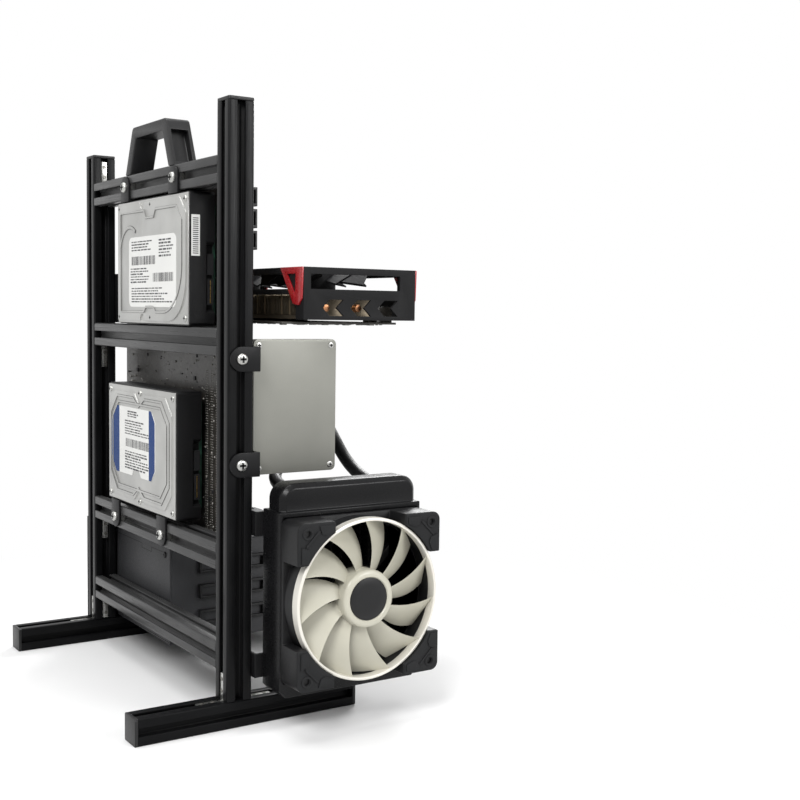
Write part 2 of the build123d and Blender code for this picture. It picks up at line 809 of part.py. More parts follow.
with BuildPart() as fan_frame:
    with BuildSketch(facing_left):
        RectangleRounded(radiator_width, radiator_width, fan_corner)
        Circle(fan_bore_radius, mode=Mode.SUBTRACT)
        RegularPolygon(fan_hub_radius + 2, 12)
        with PolarLocations(fan_bore_radius / 2, 4, 45):
            Rectangle(fan_bore_radius + 2, fan_strut)
    extrude(amount=fan_plate)
    with BuildSketch(facing_left.offset(fan_plate)):
        Circle(fan_ring_radius)
        Circle(ring_inner + 2 * fan_gap, mode=Mode.SUBTRACT)
    extrude(amount=fan_depth - fan_plate - fan_ring_depth - 2 * fan_gap)
    with BuildSketch(facing_left.offset(fan_plate)):
        add(fan_corners.sketch)
    extrude(amount=fan_depth - fan_plate)
save("fan_frame", fan_frame)

with BuildPart() as fan_pads:
    with BuildSketch(facing_left.offset(fan_depth)):
        add(fan_corners.sketch)
        with GridLocations(fan_hole_gap, fan_hole_gap, 2, 2):
            RegularPolygon(2.4, 8, mode=Mode.SUBTRACT)
    extrude(amount=pad_thick)
save("fan_pads", fan_pads)

# Pump on the processor: socket, round body with a boss for its fittings, and four-armed bracket
pump_seat = board_face - socket_height
with BuildPart() as cpu_socket:
    size = socket_size / 2
    block((pump_x - size, pump_x + size), (board_face, board_face - 5), (pump_z - size, pump_z + size))
    block((pump_x - 19, pump_x + 19), (board_face - 5, pump_seat), (pump_z - 19, pump_z + 19))
save("cpu_socket", cpu_socket)

boss_y = pump_seat - 24
with BuildPart() as pump_body:
    with BuildSketch(facing_front(pump_seat, pump_x, pump_z)):
        Circle(pump_radius)
    extrude(amount=pump_height)
    block(
        (pump_x + 16, pump_x + boss_reach),
        (boss_y - 9, boss_y + 9),
        (pump_z - fitting_gap / 2 - 9, pump_z + fitting_gap / 2 + 9),
    )
save("pump_body", pump_body)

with BuildPart() as pump_bracket:
    arm = bracket_hole_gap * math.sqrt(2) + 10
    with BuildSketch(facing_front(pump_seat, pump_x, pump_z)):
        Rectangle(arm, 10, rotation=45)
        Rectangle(arm, 10, rotation=-45)
        RegularPolygon(pump_radius + 8, 8, rotation=22.5)
        Circle(pump_radius + 0.2, mode=Mode.SUBTRACT)
    extrude(amount=bracket_thick)
    with BuildSketch(facing_front(board_face, pump_x, pump_z)):
        with GridLocations(bracket_hole_gap, bracket_hole_gap, 2, 2):
            RegularPolygon(3, 6)
    extrude(amount=socket_height)
save("pump_bracket", pump_bracket)

# Elbows on the pump's right side and straight ports on the tank
elbow_x = pump_x + boss_reach + 8
elbow_end = boss_y - 17
port_z = core_high + 12
front_port_y = fore_side + 12
rear_port_y = rear_side - 32
with BuildPart() as hose_fittings:
    for side in (-1, 1):
        z = pump_z + side * fitting_gap / 2
        with BuildSketch(facing_right(pump_x + boss_reach, boss_y, z)):
            RegularPolygon(fitting_radius + 0.8, 8, rotation=22.5)
        extrude(amount=8 + fitting_radius)
        with BuildSketch(facing_front(boss_y, elbow_x, z)):
            Circle(fitting_radius - 0.5)
        extrude(amount=boss_y - elbow_end)
    with BuildSketch(facing_right(radiator_inner, 0, port_z)):
        with Locations((front_port_y, 0), (rear_port_y, 0)):
            RegularPolygon(fitting_radius + 0.8, 6)
    extrude(amount=port_length)
save("hose_fittings", hose_fittings)


def hose(points):
    """A hose along straight runs joined by the largest arcs that the runs leave room for."""
    places = [Vector(frame_x + x, frame_y + y, z) for x, y, z in points]
    runs = [end - start for start, end in zip(places, places[1:])]
    turns = [before.get_angle(after) for before, after in zip(runs, runs[1:])]
    radii = []
    for before, after, turn in zip(runs, runs[1:], turns):
        radii.append(0.45 * min(before.length, after.length) / math.tan(math.radians(turn) / 2))
    print("hose turns", [round(turn) for turn in turns], "radii", [round(radius) for radius in radii])
    with BuildPart() as tube:
        with BuildLine() as route:
            FilletPolyline(*places, radius=radii)
        with BuildSketch(Plane(route.line @ 0, z_dir=route.line % 0)):
            Circle(hose_diameter / 2)
        sweep()
    length = sum(edge.length for edge in route.edges())
    plain_volume = length * math.pi * hose_diameter**2 / 4
    print("hose length", round(length), "volume share", round(tube.part.volume / plain_volume, 4))
    return tube


hose_end = radiator_inner + port_length
upper_hose_z = pump_z + fitting_gap / 2
lower_hose_z = pump_z - fitting_gap / 2
upper_from_elbow = ((0, 0, 0), (0, -40, 0), (-29, -68, 3), (-70, -69, 8))
upper_from_port = ((88, 2, 46), (40, 0, 0), (0, 0, 0))
lower_from_elbow = ((0, 0, 0), (0, -40, 0), (-29, -68, -2), (-76, -68, -4))
lower_from_port = ((76, -26, 14), (40, 0, 0), (0, 0, 0))


def hose_route(from_elbow, elbow_z, from_port, port_y):
    """The corners of a hose, the first ones set out from its elbow and the last ones from its port."""
    start = [(elbow_x + x, elbow_end + y, elbow_z + z) for x, y, z in from_elbow]
    return start + [(hose_end + x, port_y + y, port_z + z) for x, y, z in from_port]


upper_route = hose_route(upper_from_elbow, upper_hose_z, upper_from_port, front_port_y)
lower_route = hose_route(lower_from_elbow, lower_hose_z, lower_from_port, rear_port_y)
save("upper_hose", hose(upper_route))
save("lower_hose", hose(lower_route))

# Graphics card: board in its slot, heatsink on the chip, shroud with two fans, port bracket
card_right = card_bracket_x - card_port_gap
card_left = card_right - card_length
card_middle = (card_left + card_right) / 2
card_board_top = card_z + card_board_thick / 2
card_edge = board_face - card_slot_height - 1.4
chip_top = card_board_top + 2.0
fin_top = card_z + 21
card_top = card_z + card_height
shroud_rear = card_edge - shroud_set_back
fan_y = (shroud_rear + card_front) / 2
card_fan_xs = [card_left + card_length * share for share in (0.26, 0.74)]
with BuildPart() as card_board:
    thick = (card_z - card_board_thick / 2, card_board_top)
    block((card_left + 11, card_bracket_x - 1), (card_edge, card_front + 10), thick)
    block((slot_right - card_slot_length + 3, slot_right - 3), (board_face - 4, card_edge), thick)
    block((card_middle - 20, card_middle + 20), (fan_y - 20, fan_y + 20), (card_board_top, chip_top))
    socket_y = (card_front + 12, card_front + 26)
    block((card_left + 14, card_left + 34), socket_y, (card_board_top, card_board_top + 12))
    port_span = (card_right + 0.5, card_bracket_x)
    for step in range(4):
        y = card_front + 24 + step * 21
        block(port_span, (y - 8, y + 8), (card_board_top, card_board_top + 6))
    dvi_y = card_front + 84
    block(port_span, (dvi_y - 19, dvi_y + 19), (card_board_top + 16, card_board_top + 27))
    block(port_span, (dvi_y - 8, dvi_y + 8), (card_board_top, card_board_top + 16))
save("card_board", card_board)

with BuildPart() as card_heatsink:
    fin_rear = shroud_rear - shroud_wall - 2
    fin_fore = card_front + 30
    block((card_left + 14, card_right - 30), (fin_rear, fin_fore), (chip_top, chip_top + 3))
    fin_count = 18
    fin_pitch = (card_length - 46) / (fin_count - 1)
    for step in range(fin_count):
        x = card_left + 14 + step * fin_pitch
        block((x, x + 2), (fin_rear, fin_fore), (chip_top + 3, fin_top))
save("card_heatsink", card_heatsink)

motor_top = fin_top + 2
with BuildPart() as card_shroud:
    inner_top = card_top - shroud_top
    skirt = card_board_top + 1.6
    block((card_left, card_right), (shroud_rear, card_front), (skirt, card_top))
    block(
        (card_left + shroud_wall, card_right - shroud_wall),
        (shroud_rear - shroud_wall, card_front + shroud_wall),
        (skirt, inner_top),
        Mode.SUBTRACT,
    )
    slot_band = (fin_top + 4, inner_top - 2)
    for span in ((card_left + 22, card_middle - 9.5), (card_middle + 9.5, card_right - 20)):
        for wall in ((shroud_rear, shroud_rear - shroud_wall), (card_front, card_front + shroud_wall)):
            block(span, wall, slot_band, Mode.SUBTRACT)
    block((card_left, card_left + shroud_wall), (shroud_rear - 6, card_front + 14), slot_band, Mode.SUBTRACT)
    rear_wall = (shroud_rear, shroud_rear - shroud_wall)
    block((card_left + 12, card_right - 30), rear_wall, (skirt, fin_top), Mode.SUBTRACT)
    with BuildSketch(facing_right(card_left, fan_y, skirt)):
        with Locations((24, 9), (0, 9), (-24, 9)):
            Polygon((-9, -6), (3, -6), (9, 0), (3, 6), (-9, 6), (-3, 0))
    extrude(amount=shroud_wall, mode=Mode.SUBTRACT)
    with BuildSketch(level(inner_top)):
        with Locations([(x, fan_y) for x in card_fan_xs]):
            Circle(card_fan_radius + card_fan_room)
    extrude(amount=shroud_top, mode=Mode.SUBTRACT)
    with BuildSketch(level(fin_top)):
        for x in card_fan_xs:
            with Locations((x, fan_y)):
                RegularPolygon(card_fan_hub + 2, 12)
                Rectangle(6, shroud_rear - card_front - 2)
    extrude(amount=motor_top - fin_top)
save("card_shroud", card_shroud)

with BuildPart() as card_trim:
    for plane, start, inwards in (
        (facing_front(shroud_rear + trim_thick), card_left, 1),
        (facing_front(card_front), card_left, 1),
        (facing_front(card_front), card_right, -1),
    ):
        outline = ((0, 0), (34, 0), (14, -27), (6, -28), (1, -23))
        opening = ((10, -5), (24, -5), (11, -21))
        with BuildSketch(plane):
            Polygon([(start + inwards * x, card_top + z) for x, z in outline], align=None)
            Polygon([(start + inwards * x, card_top + z) for x, z in opening], align=None, mode=Mode.SUBTRACT)
        extrude(amount=trim_thick)
save("card_trim", card_trim)

card_blade = fan_blade(card_fan_hub - 3, card_fan_radius, 7.0, 27.0, 14.0, 27.0, 1.2)
card_hub_depth = card_top - motor_top - 1
for name, x in zip(("card_left_fan", "card_right_fan"), card_fan_xs):
    plane = level(motor_top + fan_gap, x, fan_y)
    save(name, fan_rotor(plane, card_fan_hub, card_fan_radius, card_hub_depth, card_fan_blades, card_blade))

card_lip = 11.5
bracket_low = card_z - 2.2
with BuildPart() as card_bracket:
    with BuildSketch(facing_right(card_bracket_x)):
        with Locations(((card_front - face - 8) / 2, bracket_low + card_bracket_height / 2)):
            Rectangle(-face - 8 - card_front, card_bracket_height)
        for step in range(4):
            with Locations((card_front + 24 + step * 21, card_board_top + 3)):
                Rectangle(15, 4.6, mode=Mode.SUBTRACT)
        with Locations((dvi_y, card_board_top + 21.5)):
            Rectangle(34, 8, mode=Mode.SUBTRACT)
        with Locations((card_front + 34, card_board_top + 25)):
            with GridLocations(5.6, 9, 8, 2):
                Rectangle(2.8, 6, mode=Mode.SUBTRACT)
        with Locations((card_front + 50, card_board_top + 11.5)):
            with GridLocations(8, 1, 9, 1):
                Rectangle(4, 5, mode=Mode.SUBTRACT)
    extrude(amount=card_bracket_thick)
    lip_front = card_front - card_bracket_thick
    lip_span = (card_bracket_x, card_bracket_x + card_lip)
    block(lip_span, (card_front, lip_front), (bracket_low, bracket_low + card_bracket_height))
save("card_bracket", card_bracket)

# Power supply: a folded case with both end walls, a cover over it, and a fan above the opening below
psu_ends = (psu_left, psu_right)
psu_sides = (psu_back - psu_sheet, psu_front + psu_sheet)
psu_middle_x = (psu_left + psu_right) / 2
psu_middle_y = (psu_back + psu_front) / 2
inlet_y = psu_front + 31
inlet_z = psu_bottom + 42
inlet_width = 28.0
inlet_height = 21.0
inlet_room = 0.4
with BuildPart() as psu_case:
    block(psu_ends, (psu_back, psu_front), (psu_bottom, psu_bottom + psu_sheet))
    for wall in ((psu_left, psu_left + psu_sheet), (psu_right - psu_sheet, psu_right)):
        block(wall, psu_sides, (psu_bottom + psu_sheet, psu_top - psu_sheet))
    with BuildSketch(facing_right(psu_right - psu_sheet)):
        for column in range(11):
            y = psu_front + 10 + column * hex_pitch * 0.86
            for row in range(6):
                z = psu_bottom + 10 + (row + (column % 2) / 2) * hex_pitch
                beside = abs(y - inlet_y) > inlet_width / 2 + 12
                above = abs(z - inlet_z) > inlet_height / 2 + 9
                if (beside or above) and z < psu_top - 9 and y < arm_root:
                    with Locations((y, z)):
                        RegularPolygon(hex_radius, 6)
        with Locations((inlet_y, inlet_z)):
            Rectangle(inlet_width + 2 * inlet_room, inlet_height + 2 * inlet_room)
    extrude(amount=psu_sheet, mode=Mode.SUBTRACT)
    with BuildSketch(level(psu_bottom, psu_middle_x, psu_middle_y)):
        RegularPolygon(psu_fan_radius + 2, 16)
        RegularPolygon(psu_fan_radius - 13, 16, mode=Mode.SUBTRACT)
        RegularPolygon(psu_fan_radius - 17, 16)
        RegularPolygon(psu_fan_hub, 16, mode=Mode.SUBTRACT)
        Rectangle(2 * psu_fan_radius + 6, 5, mode=Mode.SUBTRACT)
        Rectangle(5, 2 * psu_fan_radius + 6, mode=Mode.SUBTRACT)
    extrude(amount=psu_sheet, mode=Mode.SUBTRACT)
save("psu_case", psu_case)

with BuildPart() as psu_cover:
    block(psu_ends, (psu_back, psu_front), (psu_top - psu_sheet, psu_top))
    for wall in ((psu_back, psu_back - psu_sheet), (psu_front + psu_sheet, psu_front)):
        block(psu_ends, wall, (psu_bottom + psu_sheet, psu_top - psu_sheet))
save("psu_cover", psu_cover)

psu_blade = fan_blade(psu_fan_hub - 3, psu_fan_radius, 10.0, 32.0, 12.0, 25.0, 1.4)
psu_fan_plane = level(psu_bottom + psu_sheet + fan_gap, psu_middle_x, psu_middle_y)
save("psu_fan", fan_rotor(psu_fan_plane, psu_fan_hub, psu_fan_radius, 20.0, psu_fan_blades, psu_blade))

with BuildPart() as psu_inlet:
    with BuildSketch(facing_right(psu_right, inlet_y, inlet_z)) as flange:
        Rectangle(inlet_width + 14, inlet_height + 5)
        chamfer(flange.vertices(), 6)
    extrude(amount=1.6)
    with BuildSketch(facing_right(psu_right - 18, inlet_y, inlet_z)):
        Rectangle(inlet_width, inlet_height)
    extrude(amount=18)
    with BuildSketch(facing_right(psu_right - 16, inlet_y, inlet_z)) as mouth:
        Rectangle(inlet_width - 4, inlet_height - 4)
        chamfer(mouth.vertices().group_by(Axis.Y)[-1], 4)
    extrude(amount=18, mode=Mode.SUBTRACT)
    with BuildSketch(facing_right(psu_right - 16, inlet_y, inlet_z)):
        with Locations((-7, -2), (0, 2), (7, -2)):
            Rectangle(2, 4)
    extrude(amount=12)
save("psu_inlet", psu_inlet)

with BuildPart() as psu_sockets:
    with BuildSketch(facing_right(psu_left - 4, psu_middle_y, psu_bottom + psu_height / 2)):
        with GridLocations(36, 22, 3, 3):
            Rectangle(26, 12)
            Rectangle(22, 8, mode=Mode.SUBTRACT)
    extrude(amount=4)
save("psu_sockets", psu_sockets)
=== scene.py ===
import json
import math
import random

import bmesh
import bpy
from mathutils import Matrix, Vector


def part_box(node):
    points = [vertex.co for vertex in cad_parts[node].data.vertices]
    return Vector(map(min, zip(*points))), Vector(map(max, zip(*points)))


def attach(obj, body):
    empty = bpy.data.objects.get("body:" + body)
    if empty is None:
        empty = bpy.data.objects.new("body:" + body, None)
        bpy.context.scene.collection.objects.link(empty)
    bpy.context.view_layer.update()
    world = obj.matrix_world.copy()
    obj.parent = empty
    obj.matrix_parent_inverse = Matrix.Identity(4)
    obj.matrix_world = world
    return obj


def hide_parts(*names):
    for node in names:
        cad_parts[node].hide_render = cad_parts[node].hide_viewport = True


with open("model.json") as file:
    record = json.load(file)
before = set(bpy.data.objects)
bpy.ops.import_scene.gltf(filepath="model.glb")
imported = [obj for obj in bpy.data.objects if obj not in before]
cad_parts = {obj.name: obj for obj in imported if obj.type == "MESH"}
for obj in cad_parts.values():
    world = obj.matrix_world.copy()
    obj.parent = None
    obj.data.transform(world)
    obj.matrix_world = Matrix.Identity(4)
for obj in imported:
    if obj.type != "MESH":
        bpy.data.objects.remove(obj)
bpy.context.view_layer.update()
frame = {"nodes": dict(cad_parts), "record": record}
scene = bpy.context.scene
MM = 0.001
BENCH = "bench"


def add_object(name, data):
    """A new object in the scene."""
    thing = bpy.data.objects.new(name, data)
    scene.collection.objects.link(thing)
    return thing


# Shader and geometry nodes
def feed(tree, node, inputs):
    """Gives each named input of a node a value or another node's output."""
    for key, value in inputs.items():
        if isinstance(value, bpy.types.NodeSocket):
            tree.links.new(value, node.inputs[key])
        else:
            node.inputs[key].default_value = value


def add_node(tree, kind, inputs, **settings):
    """A new node with its settings and inputs."""
    node = tree.nodes.new(kind)
    for name, value in settings.items():
        setattr(node, name, value)
    feed(tree, node, inputs)
    return node


# Materials: every finish is a principled surface with grain, mottling and uneven gloss from noise
COAT_ROUGHNESS = 0.12
LEAST_ROUGHNESS = 0.05
GRAIN_REACH = 0.0006
MIX_AMOUNT, MIX_FIRST, MIX_SECOND, MIX_RESULT = 0, 6, 7, 2
WHITE = (1, 1, 1, 1)
finishes = {}


def noise(tree, coordinates, scale, detail, stretch=(1, 1, 1)):
    """A noise pattern on object coordinates, longer along the axes that have a small stretch value."""
    mapping = add_node(tree, "ShaderNodeMapping", {"Vector": coordinates, "Scale": stretch})
    inputs = {"Vector": mapping.outputs["Vector"], "Scale": scale, "Detail": detail}
    return add_node(tree, "ShaderNodeTexNoise", inputs).outputs["Fac"]


def spread(tree, value, low, high):
    """Maps a noise value to a range."""
    inputs = {"Value": value, "From Min": 0.3, "From Max": 0.7, "To Min": low, "To Max": high}
    return add_node(tree, "ShaderNodeMapRange", inputs).outputs["Result"]


def finish(
    name, colour, rough=0.5, metal=0.0, mottle=0.12, mottle_size=25.0, grain=900.0, grain_depth=0.06,
    stretch=(1, 1, 1), coat=0.0, gloss_spread=0.08, shine=0.5,
):
    """A surface in one colour that is mottled a little, with a grain and an uneven gloss."""
    material = bpy.data.materials.new(name)
    material.use_nodes = True
    tree = material.node_tree
    coordinates = tree.nodes.new("ShaderNodeTexCoord").outputs["Object"]
    darker = tuple(max(0.0, part * (1 - mottle)) for part in colour)
    lighter = tuple(min(1.0, part * (1 + mottle) + 0.002) for part in colour)
    tone = spread(tree, noise(tree, coordinates, mottle_size, 4.0), 0.0, 1.0)
    colours = {MIX_AMOUNT: tone, MIX_FIRST: (*darker, 1), MIX_SECOND: (*lighter, 1)}
    mix = add_node(tree, "ShaderNodeMix", colours, data_type="RGBA")
    fine = noise(tree, coordinates, grain, 2.0, stretch)
    smoothest = max(LEAST_ROUGHNESS, rough - gloss_spread)
    relief = {"Strength": grain_depth, "Distance": GRAIN_REACH, "Height": fine}
    surface = {
        "Base Color": mix.outputs[MIX_RESULT],
        "Metallic": metal,
        "Roughness": spread(tree, fine, smoothest, min(1.0, rough + gloss_spread)),
        "Specular IOR Level": shine,
        "Coat Weight": coat,
        "Coat Roughness": COAT_ROUGHNESS,
        "Normal": add_node(tree, "ShaderNodeBump", relief).outputs["Normal"],
    }
    feed(tree, tree.nodes["Principled BSDF"], surface)
    finishes[name] = material
    return material


ALONG_X = (0.02, 1, 1)
ALONG_Y = (1, 0.02, 1)
ALONG_Z = (1, 1, 0.02)
BAR_BLACK = (0.0035, 0.0036, 0.004)
DEEP_BLACK = (0.004, 0.004, 0.0045)
FAN_BLACK = (0.005, 0.005, 0.0055)
COAT_BLACK = (0.006, 0.006, 0.0065)
bar = dict(rough=0.34, mottle=0.2, grain=1400, grain_depth=0.1)
pressed = dict(rough=0.32, metal=0.6, grain_depth=0.02)
plated = dict(rough=0.3, metal=1.0, grain=500, grain_depth=0.02, gloss_spread=0.04)
lacquer = dict(mottle=0.45, mottle_size=190, coat=0.15, shine=0.35)
smooth_ring = dict(rough=0.3, metal=0.35, mottle=0.03, grain=1300, grain_depth=0.008, gloss_spread=0.02)
finish("bar_z", BAR_BLACK, stretch=ALONG_Z, shine=0.11, **bar)
finish("bar_y", BAR_BLACK, stretch=ALONG_Y, shine=0.08, **bar)
# Painted light: the crossbars are the same black bar as the uprights, lightened to stand in for the light
# falling on their faces
finish("bar_x", (0.044, 0.0442, 0.0445), stretch=ALONG_X, shine=0.22, **bar)
finish("black_plate", COAT_BLACK, rough=0.38, grain=1600, grain_depth=0.1, shine=0.16)
finish("bright_steel", (0.48, 0.48, 0.46), **plated)
finish("black_handle", COAT_BLACK, rough=0.42, grain=2200, grain_depth=0.2, shine=0.35)
finish("cast_aluminium", COAT_BLACK, rough=0.45, grain=1500, grain_depth=0.25, shine=0.25)
finish("drive_lid", (0.43, 0.43, 0.415), gloss_spread=0.04, **pressed)
# Painted shade: a darker copy of the lid finish, laid on the side strips of the pressed beads to stand in for
# the shade beside them
finish("lid_bead_painted_shade", (0.13, 0.13, 0.125), **pressed)
finish("label_paper", (0.74, 0.74, 0.72), rough=0.55, mottle=0.03, shine=0.3)
finish("ink", (0.025, 0.025, 0.028), mottle=0.2)
finish("tin", (0.2, 0.195, 0.18), rough=0.35, metal=0.8)
finish("copper", (0.38, 0.18, 0.09), rough=0.32, metal=1.0, stretch=ALONG_X)
finish("blue", (0.004, 0.034, 0.15), rough=0.45, mottle=0.06, shine=0.15)
finish("circuit_green", (0.01, 0.05, 0.03), rough=0.35, mottle=0.3, mottle_size=160, coat=0.3)
finish("circuit_black", (0.026, 0.0235, 0.02), rough=0.4, **lacquer)
finish("socket_black", (0.008, 0.008, 0.0085), rough=0.42, grain=1800, shine=0.35)
finish("heatsink_dark", (0.03, 0.031, 0.033), rough=0.4, metal=0.8, stretch=ALONG_X)
finish("heatsink_silver", (0.42, 0.43, 0.44), rough=0.34, metal=0.95, stretch=ALONG_X)
finish("card_fin", (0.24, 0.2, 0.145), rough=0.38, metal=0.9, stretch=ALONG_Y)
finish("port_steel", (0.5, 0.5, 0.5), rough=0.28, metal=1.0, stretch=ALONG_X)
finish("ssd_grey", (0.24, 0.24, 0.215), rough=0.42, metal=0.45, grain=1100, mottle=0.05)
finish("radiator_black", DEEP_BLACK, rough=0.3, grain=1500, grain_depth=0.1, coat=0.06, shine=0.16)
finish("fan_cream", (0.46, 0.445, 0.368), rough=0.4, mottle=0.05, grain=1300, coat=0.15)
finish("ring", (0.74, 0.715, 0.65), **smooth_ring)
finish("fan_black", FAN_BLACK, rough=0.42, grain=1700, shine=0.3)
finish("pad_rubber", (0.008, 0.0083, 0.009), rough=0.7, grain=2000, grain_depth=0.2, shine=0.25)
finish("pump_black", DEEP_BLACK, rough=0.2, coat=0.4, grain=1200, shine=0.35)
finish("hose_rubber", FAN_BLACK, rough=0.45, grain=1500, grain_depth=0.15, shine=0.35)
finish("card_black", COAT_BLACK, rough=0.58, grain=1700, shine=0.16)
finish("card_red", (0.32, 0.008, 0.012), rough=0.3, mottle=0.06, grain=400, coat=0.3)
finish("psu_charcoal", (0.03, 0.0305, 0.033), grain=1500, grain_depth=0.3, shine=0.35)
finish("white_light", (0.85, 0.86, 0.88), rough=0.4)
finish("gold", (0.65, 0.44, 0.15), rough=0.3, metal=1.0)
finish("chip", (0.01, 0.01, 0.011), grain=1500, shine=0.35)
finish("port_blue", (0.02, 0.13, 0.5), rough=0.4)
finish("port_green", (0.07, 0.36, 0.09), rough=0.4)
finish("port_pink", (0.55, 0.12, 0.18), rough=0.4)
finish("port_purple", (0.22, 0.07, 0.36), rough=0.4)
finish("port_dark", COAT_BLACK, rough=0.6, shine=0.2)

# Each node has the finish that is named after its slot, apart from the bars and the card's fins
UPRIGHTS = ("left_upright", "right_upright")
FEET = ("left_foot", "right_foot")
CROSSBARS = ("top_crossbar", "middle_crossbar", "lower_crossbar", "bottom_crossbar")
OWN_FINISH = {"bar_z": UPRIGHTS, "bar_y": FEET, "bar_x": CROSSBARS, "card_fin": ("card_heatsink",)}
node_slot = {entry["node"]: entry["material_slot"] for entry in frame["record"]["subparts"]}
node_finish = dict(node_slot)
for kind, nodes in OWN_FINISH.items():
    node_finish.update(dict.fromkeys(nodes, kind))
for node, kind in node_finish.items():
    piece = frame["nodes"][node]
    piece.data.materials.clear()
    piece.data.materials.append(finishes[kind])

# Camera: it stands behind the bench, to its left, and looks a little down
CAMERA_PLACE = (-900.1, 423.8, 305.3)
CAMERA_YAW = math.radians(-33.76)
CAMERA_PITCH = math.radians(-4.17)
CAMERA_ROLL = math.radians(0.82)


def place_camera():
    """Sets the camera where the photograph was taken from."""
    data = bpy.data.cameras.new("bench_camera")
    data.lens = 54.0
    data.sensor_width = 36.0
    camera = add_object("bench_camera", data)
    level = math.cos(CAMERA_PITCH)
    forward = Vector((level * math.cos(CAMERA_YAW), level * math.sin(CAMERA_YAW), math.sin(CAMERA_PITCH)))
    level_right = forward.cross(Vector((0, 0, 1))).normalized()
    level_up = level_right.cross(forward)
    right = level_right * math.cos(CAMERA_ROLL) + level_up * math.sin(CAMERA_ROLL)
    up = right.cross(forward)
    turn = Matrix((right, up, -forward)).transposed()
    camera.matrix_world = Matrix.Translation(Vector(CAMERA_PLACE) * MM) @ turn.to_4x4()
    scene.camera = camera


# Floor, world and lamps, in metres and watts: a lamp has a name, place, target, width and power
FADE_START = 0.27
FADE_END = 0.56
FLOOR_REACH = 6.0
ROOM_LIGHT = 0.28
LAMPS = (
    ("key_lamp", (-1.2, 1.3, 1.7), (0, 0, 0.2), 1.0, 38),
    ("side_lamp", (-1.7, -0.9, 1.0), (-0.1, 0, 0.2), 0.9, 18),
    ("front_lamp", (1.4, -1.5, 1.4), (0.05, 0, 0.2), 1.1, 32),
    ("top_lamp", (0.1, 0.2, 2.0), (0, 0, 0.2), 1.3, 20),
)


def straight_view(tree):
    """One for rays from the camera, straight, off a gloss or through a clear surface, else nought."""
    path = tree.nodes.new("ShaderNodeLightPath")
    seen = path.outputs["Is Camera Ray"]
    for ray in ("Is Glossy Ray", "Is Transmission Ray"):
        either = add_node(tree, "ShaderNodeMath", {0: seen, 1: path.outputs[ray]}, operation="MAXIMUM")
        seen = either.outputs["Value"]
    return seen


def fading_floor():
    """A pale floor that keeps the shadows near the bench and fades into the white room further out."""
    material = finish("floor_white", (0.86, 0.86, 0.86), rough=0.8, mottle=0.004, shine=0.2)
    tree = material.node_tree
    spot = tree.nodes.new("ShaderNodeTexCoord").outputs["Object"]
    distance = add_node(tree, "ShaderNodeVectorMath", {0: spot}, operation="LENGTH").outputs["Value"]
    ends = {"Value": distance, "From Min": FADE_START, "From Max": FADE_END}
    fade = add_node(tree, "ShaderNodeMapRange", ends, interpolation_type="SMOOTHSTEP")
    both = {0: fade.outputs["Result"], 1: straight_view(tree)}
    shown = add_node(tree, "ShaderNodeMath", both, operation="MULTIPLY").outputs["Value"]
    glow = add_node(tree, "ShaderNodeEmission", {"Color": WHITE}).outputs["Emission"]
    pale = tree.nodes["Principled BSDF"].outputs["BSDF"]
    mix = add_node(tree, "ShaderNodeMixShader", {"Fac": shown, 1: pale, 2: glow})
    feed(tree, tree.nodes["Material Output"], {"Surface": mix.outputs["Shader"]})
    return material


def light_room():
    """A white room that is seen brighter than it shines."""
    world = bpy.data.worlds.new("studio")
    scene.world = world
    world.use_nodes = True
    tree = world.node_tree
    ends = {"Value": straight_view(tree), "To Min": ROOM_LIGHT, "To Max": 1.0}
    strength = add_node(tree, "ShaderNodeMapRange", ends).outputs["Result"]
    feed(tree, tree.nodes["Background"], {"Color": WHITE, "Strength": strength})


def lay_floor():
    """One wide sheet under the bench."""
    mesh = bpy.data.meshes.new("floor")
    corners = [(x * FLOOR_REACH, y * FLOOR_REACH, 0) for x, y in ((-1, -1), (1, -1), (1, 1), (-1, 1))]
    mesh.from_pydata(corners, [], [(0, 1, 2, 3)])
    mesh.materials.append(fading_floor())
    floor = add_object("floor", mesh)


def hang_lamps():
    """Four large soft lamps, each turned to its own target."""
    for name, place, target, size, power in LAMPS:
        data = bpy.data.lights.new(name, "AREA")
        data.shape = "DISK"
        data.size = size
        data.energy = power
        lamp = add_object(name, data)
        lamp.location = place
        aim = Vector(target) - Vector(place)
        lamp.rotation_euler = aim.to_track_quat("-Z", "Y").to_euler()


# Places: millimetres measured from the middle between the uprights, the bars' mid-plane and the floor
def frame_middle():
    """The middle of the bar frame, from the two uprights' boxes."""
    left_low, left_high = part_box("left_upright")
    right_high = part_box("right_upright")[1]
    return (left_low + right_high).x / 2 / MM, (left_low + left_high).y / 2 / MM


FRAME_MIDDLE = frame_middle()
FRAME_SHIFT = Vector((*FRAME_MIDDLE, 0))


def at(place):
    """A place in metres in the object's frame."""
    return Vector((FRAME_MIDDLE[0] + place[0], FRAME_MIDDLE[1] + place[1], place[2])) * MM


def node_box(node):
    """A node's low and high corner in bar frame millimetres."""
    low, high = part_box(node)
    return low / MM - FRAME_SHIFT, high / MM - FRAME_SHIFT


# Mesh building
BLOCK_FACES = ((0, 1, 3, 2), (4, 6, 7, 5), (0, 4, 5, 1), (2, 3, 7, 6), (0, 2, 6, 4), (1, 5, 7, 3))
SHARP_ANGLE = math.radians(32.0)
JOIN_REACH = 3e-6
FLAT_ANGLE = math.radians(0.5)
CORNER_STEPS = 6


def skin(bm, rows, closed=False, kind=0):
    """Faces between neighbouring rows of points; the rows run round and join if they are closed."""
    for lower, upper in zip(rows, rows[1:]):
        count = len(lower)
        for step in range(count if closed else count - 1):
            following = (step + 1) % count
            corners = (lower[step], lower[following], upper[following], upper[step])
            bm.faces.new(list(dict.fromkeys(corners))).material_index = kind


def add_block(bm, low, high, kind=0):
    """A block between two corners."""
    sides = tuple(zip(low, high))
    corners = [bm.verts.new(at((x, y, z))) for x in sides[0] for y in sides[1] for z in sides[2]]
    for face in BLOCK_FACES:
        bm.faces.new([corners[index] for index in face]).material_index = kind


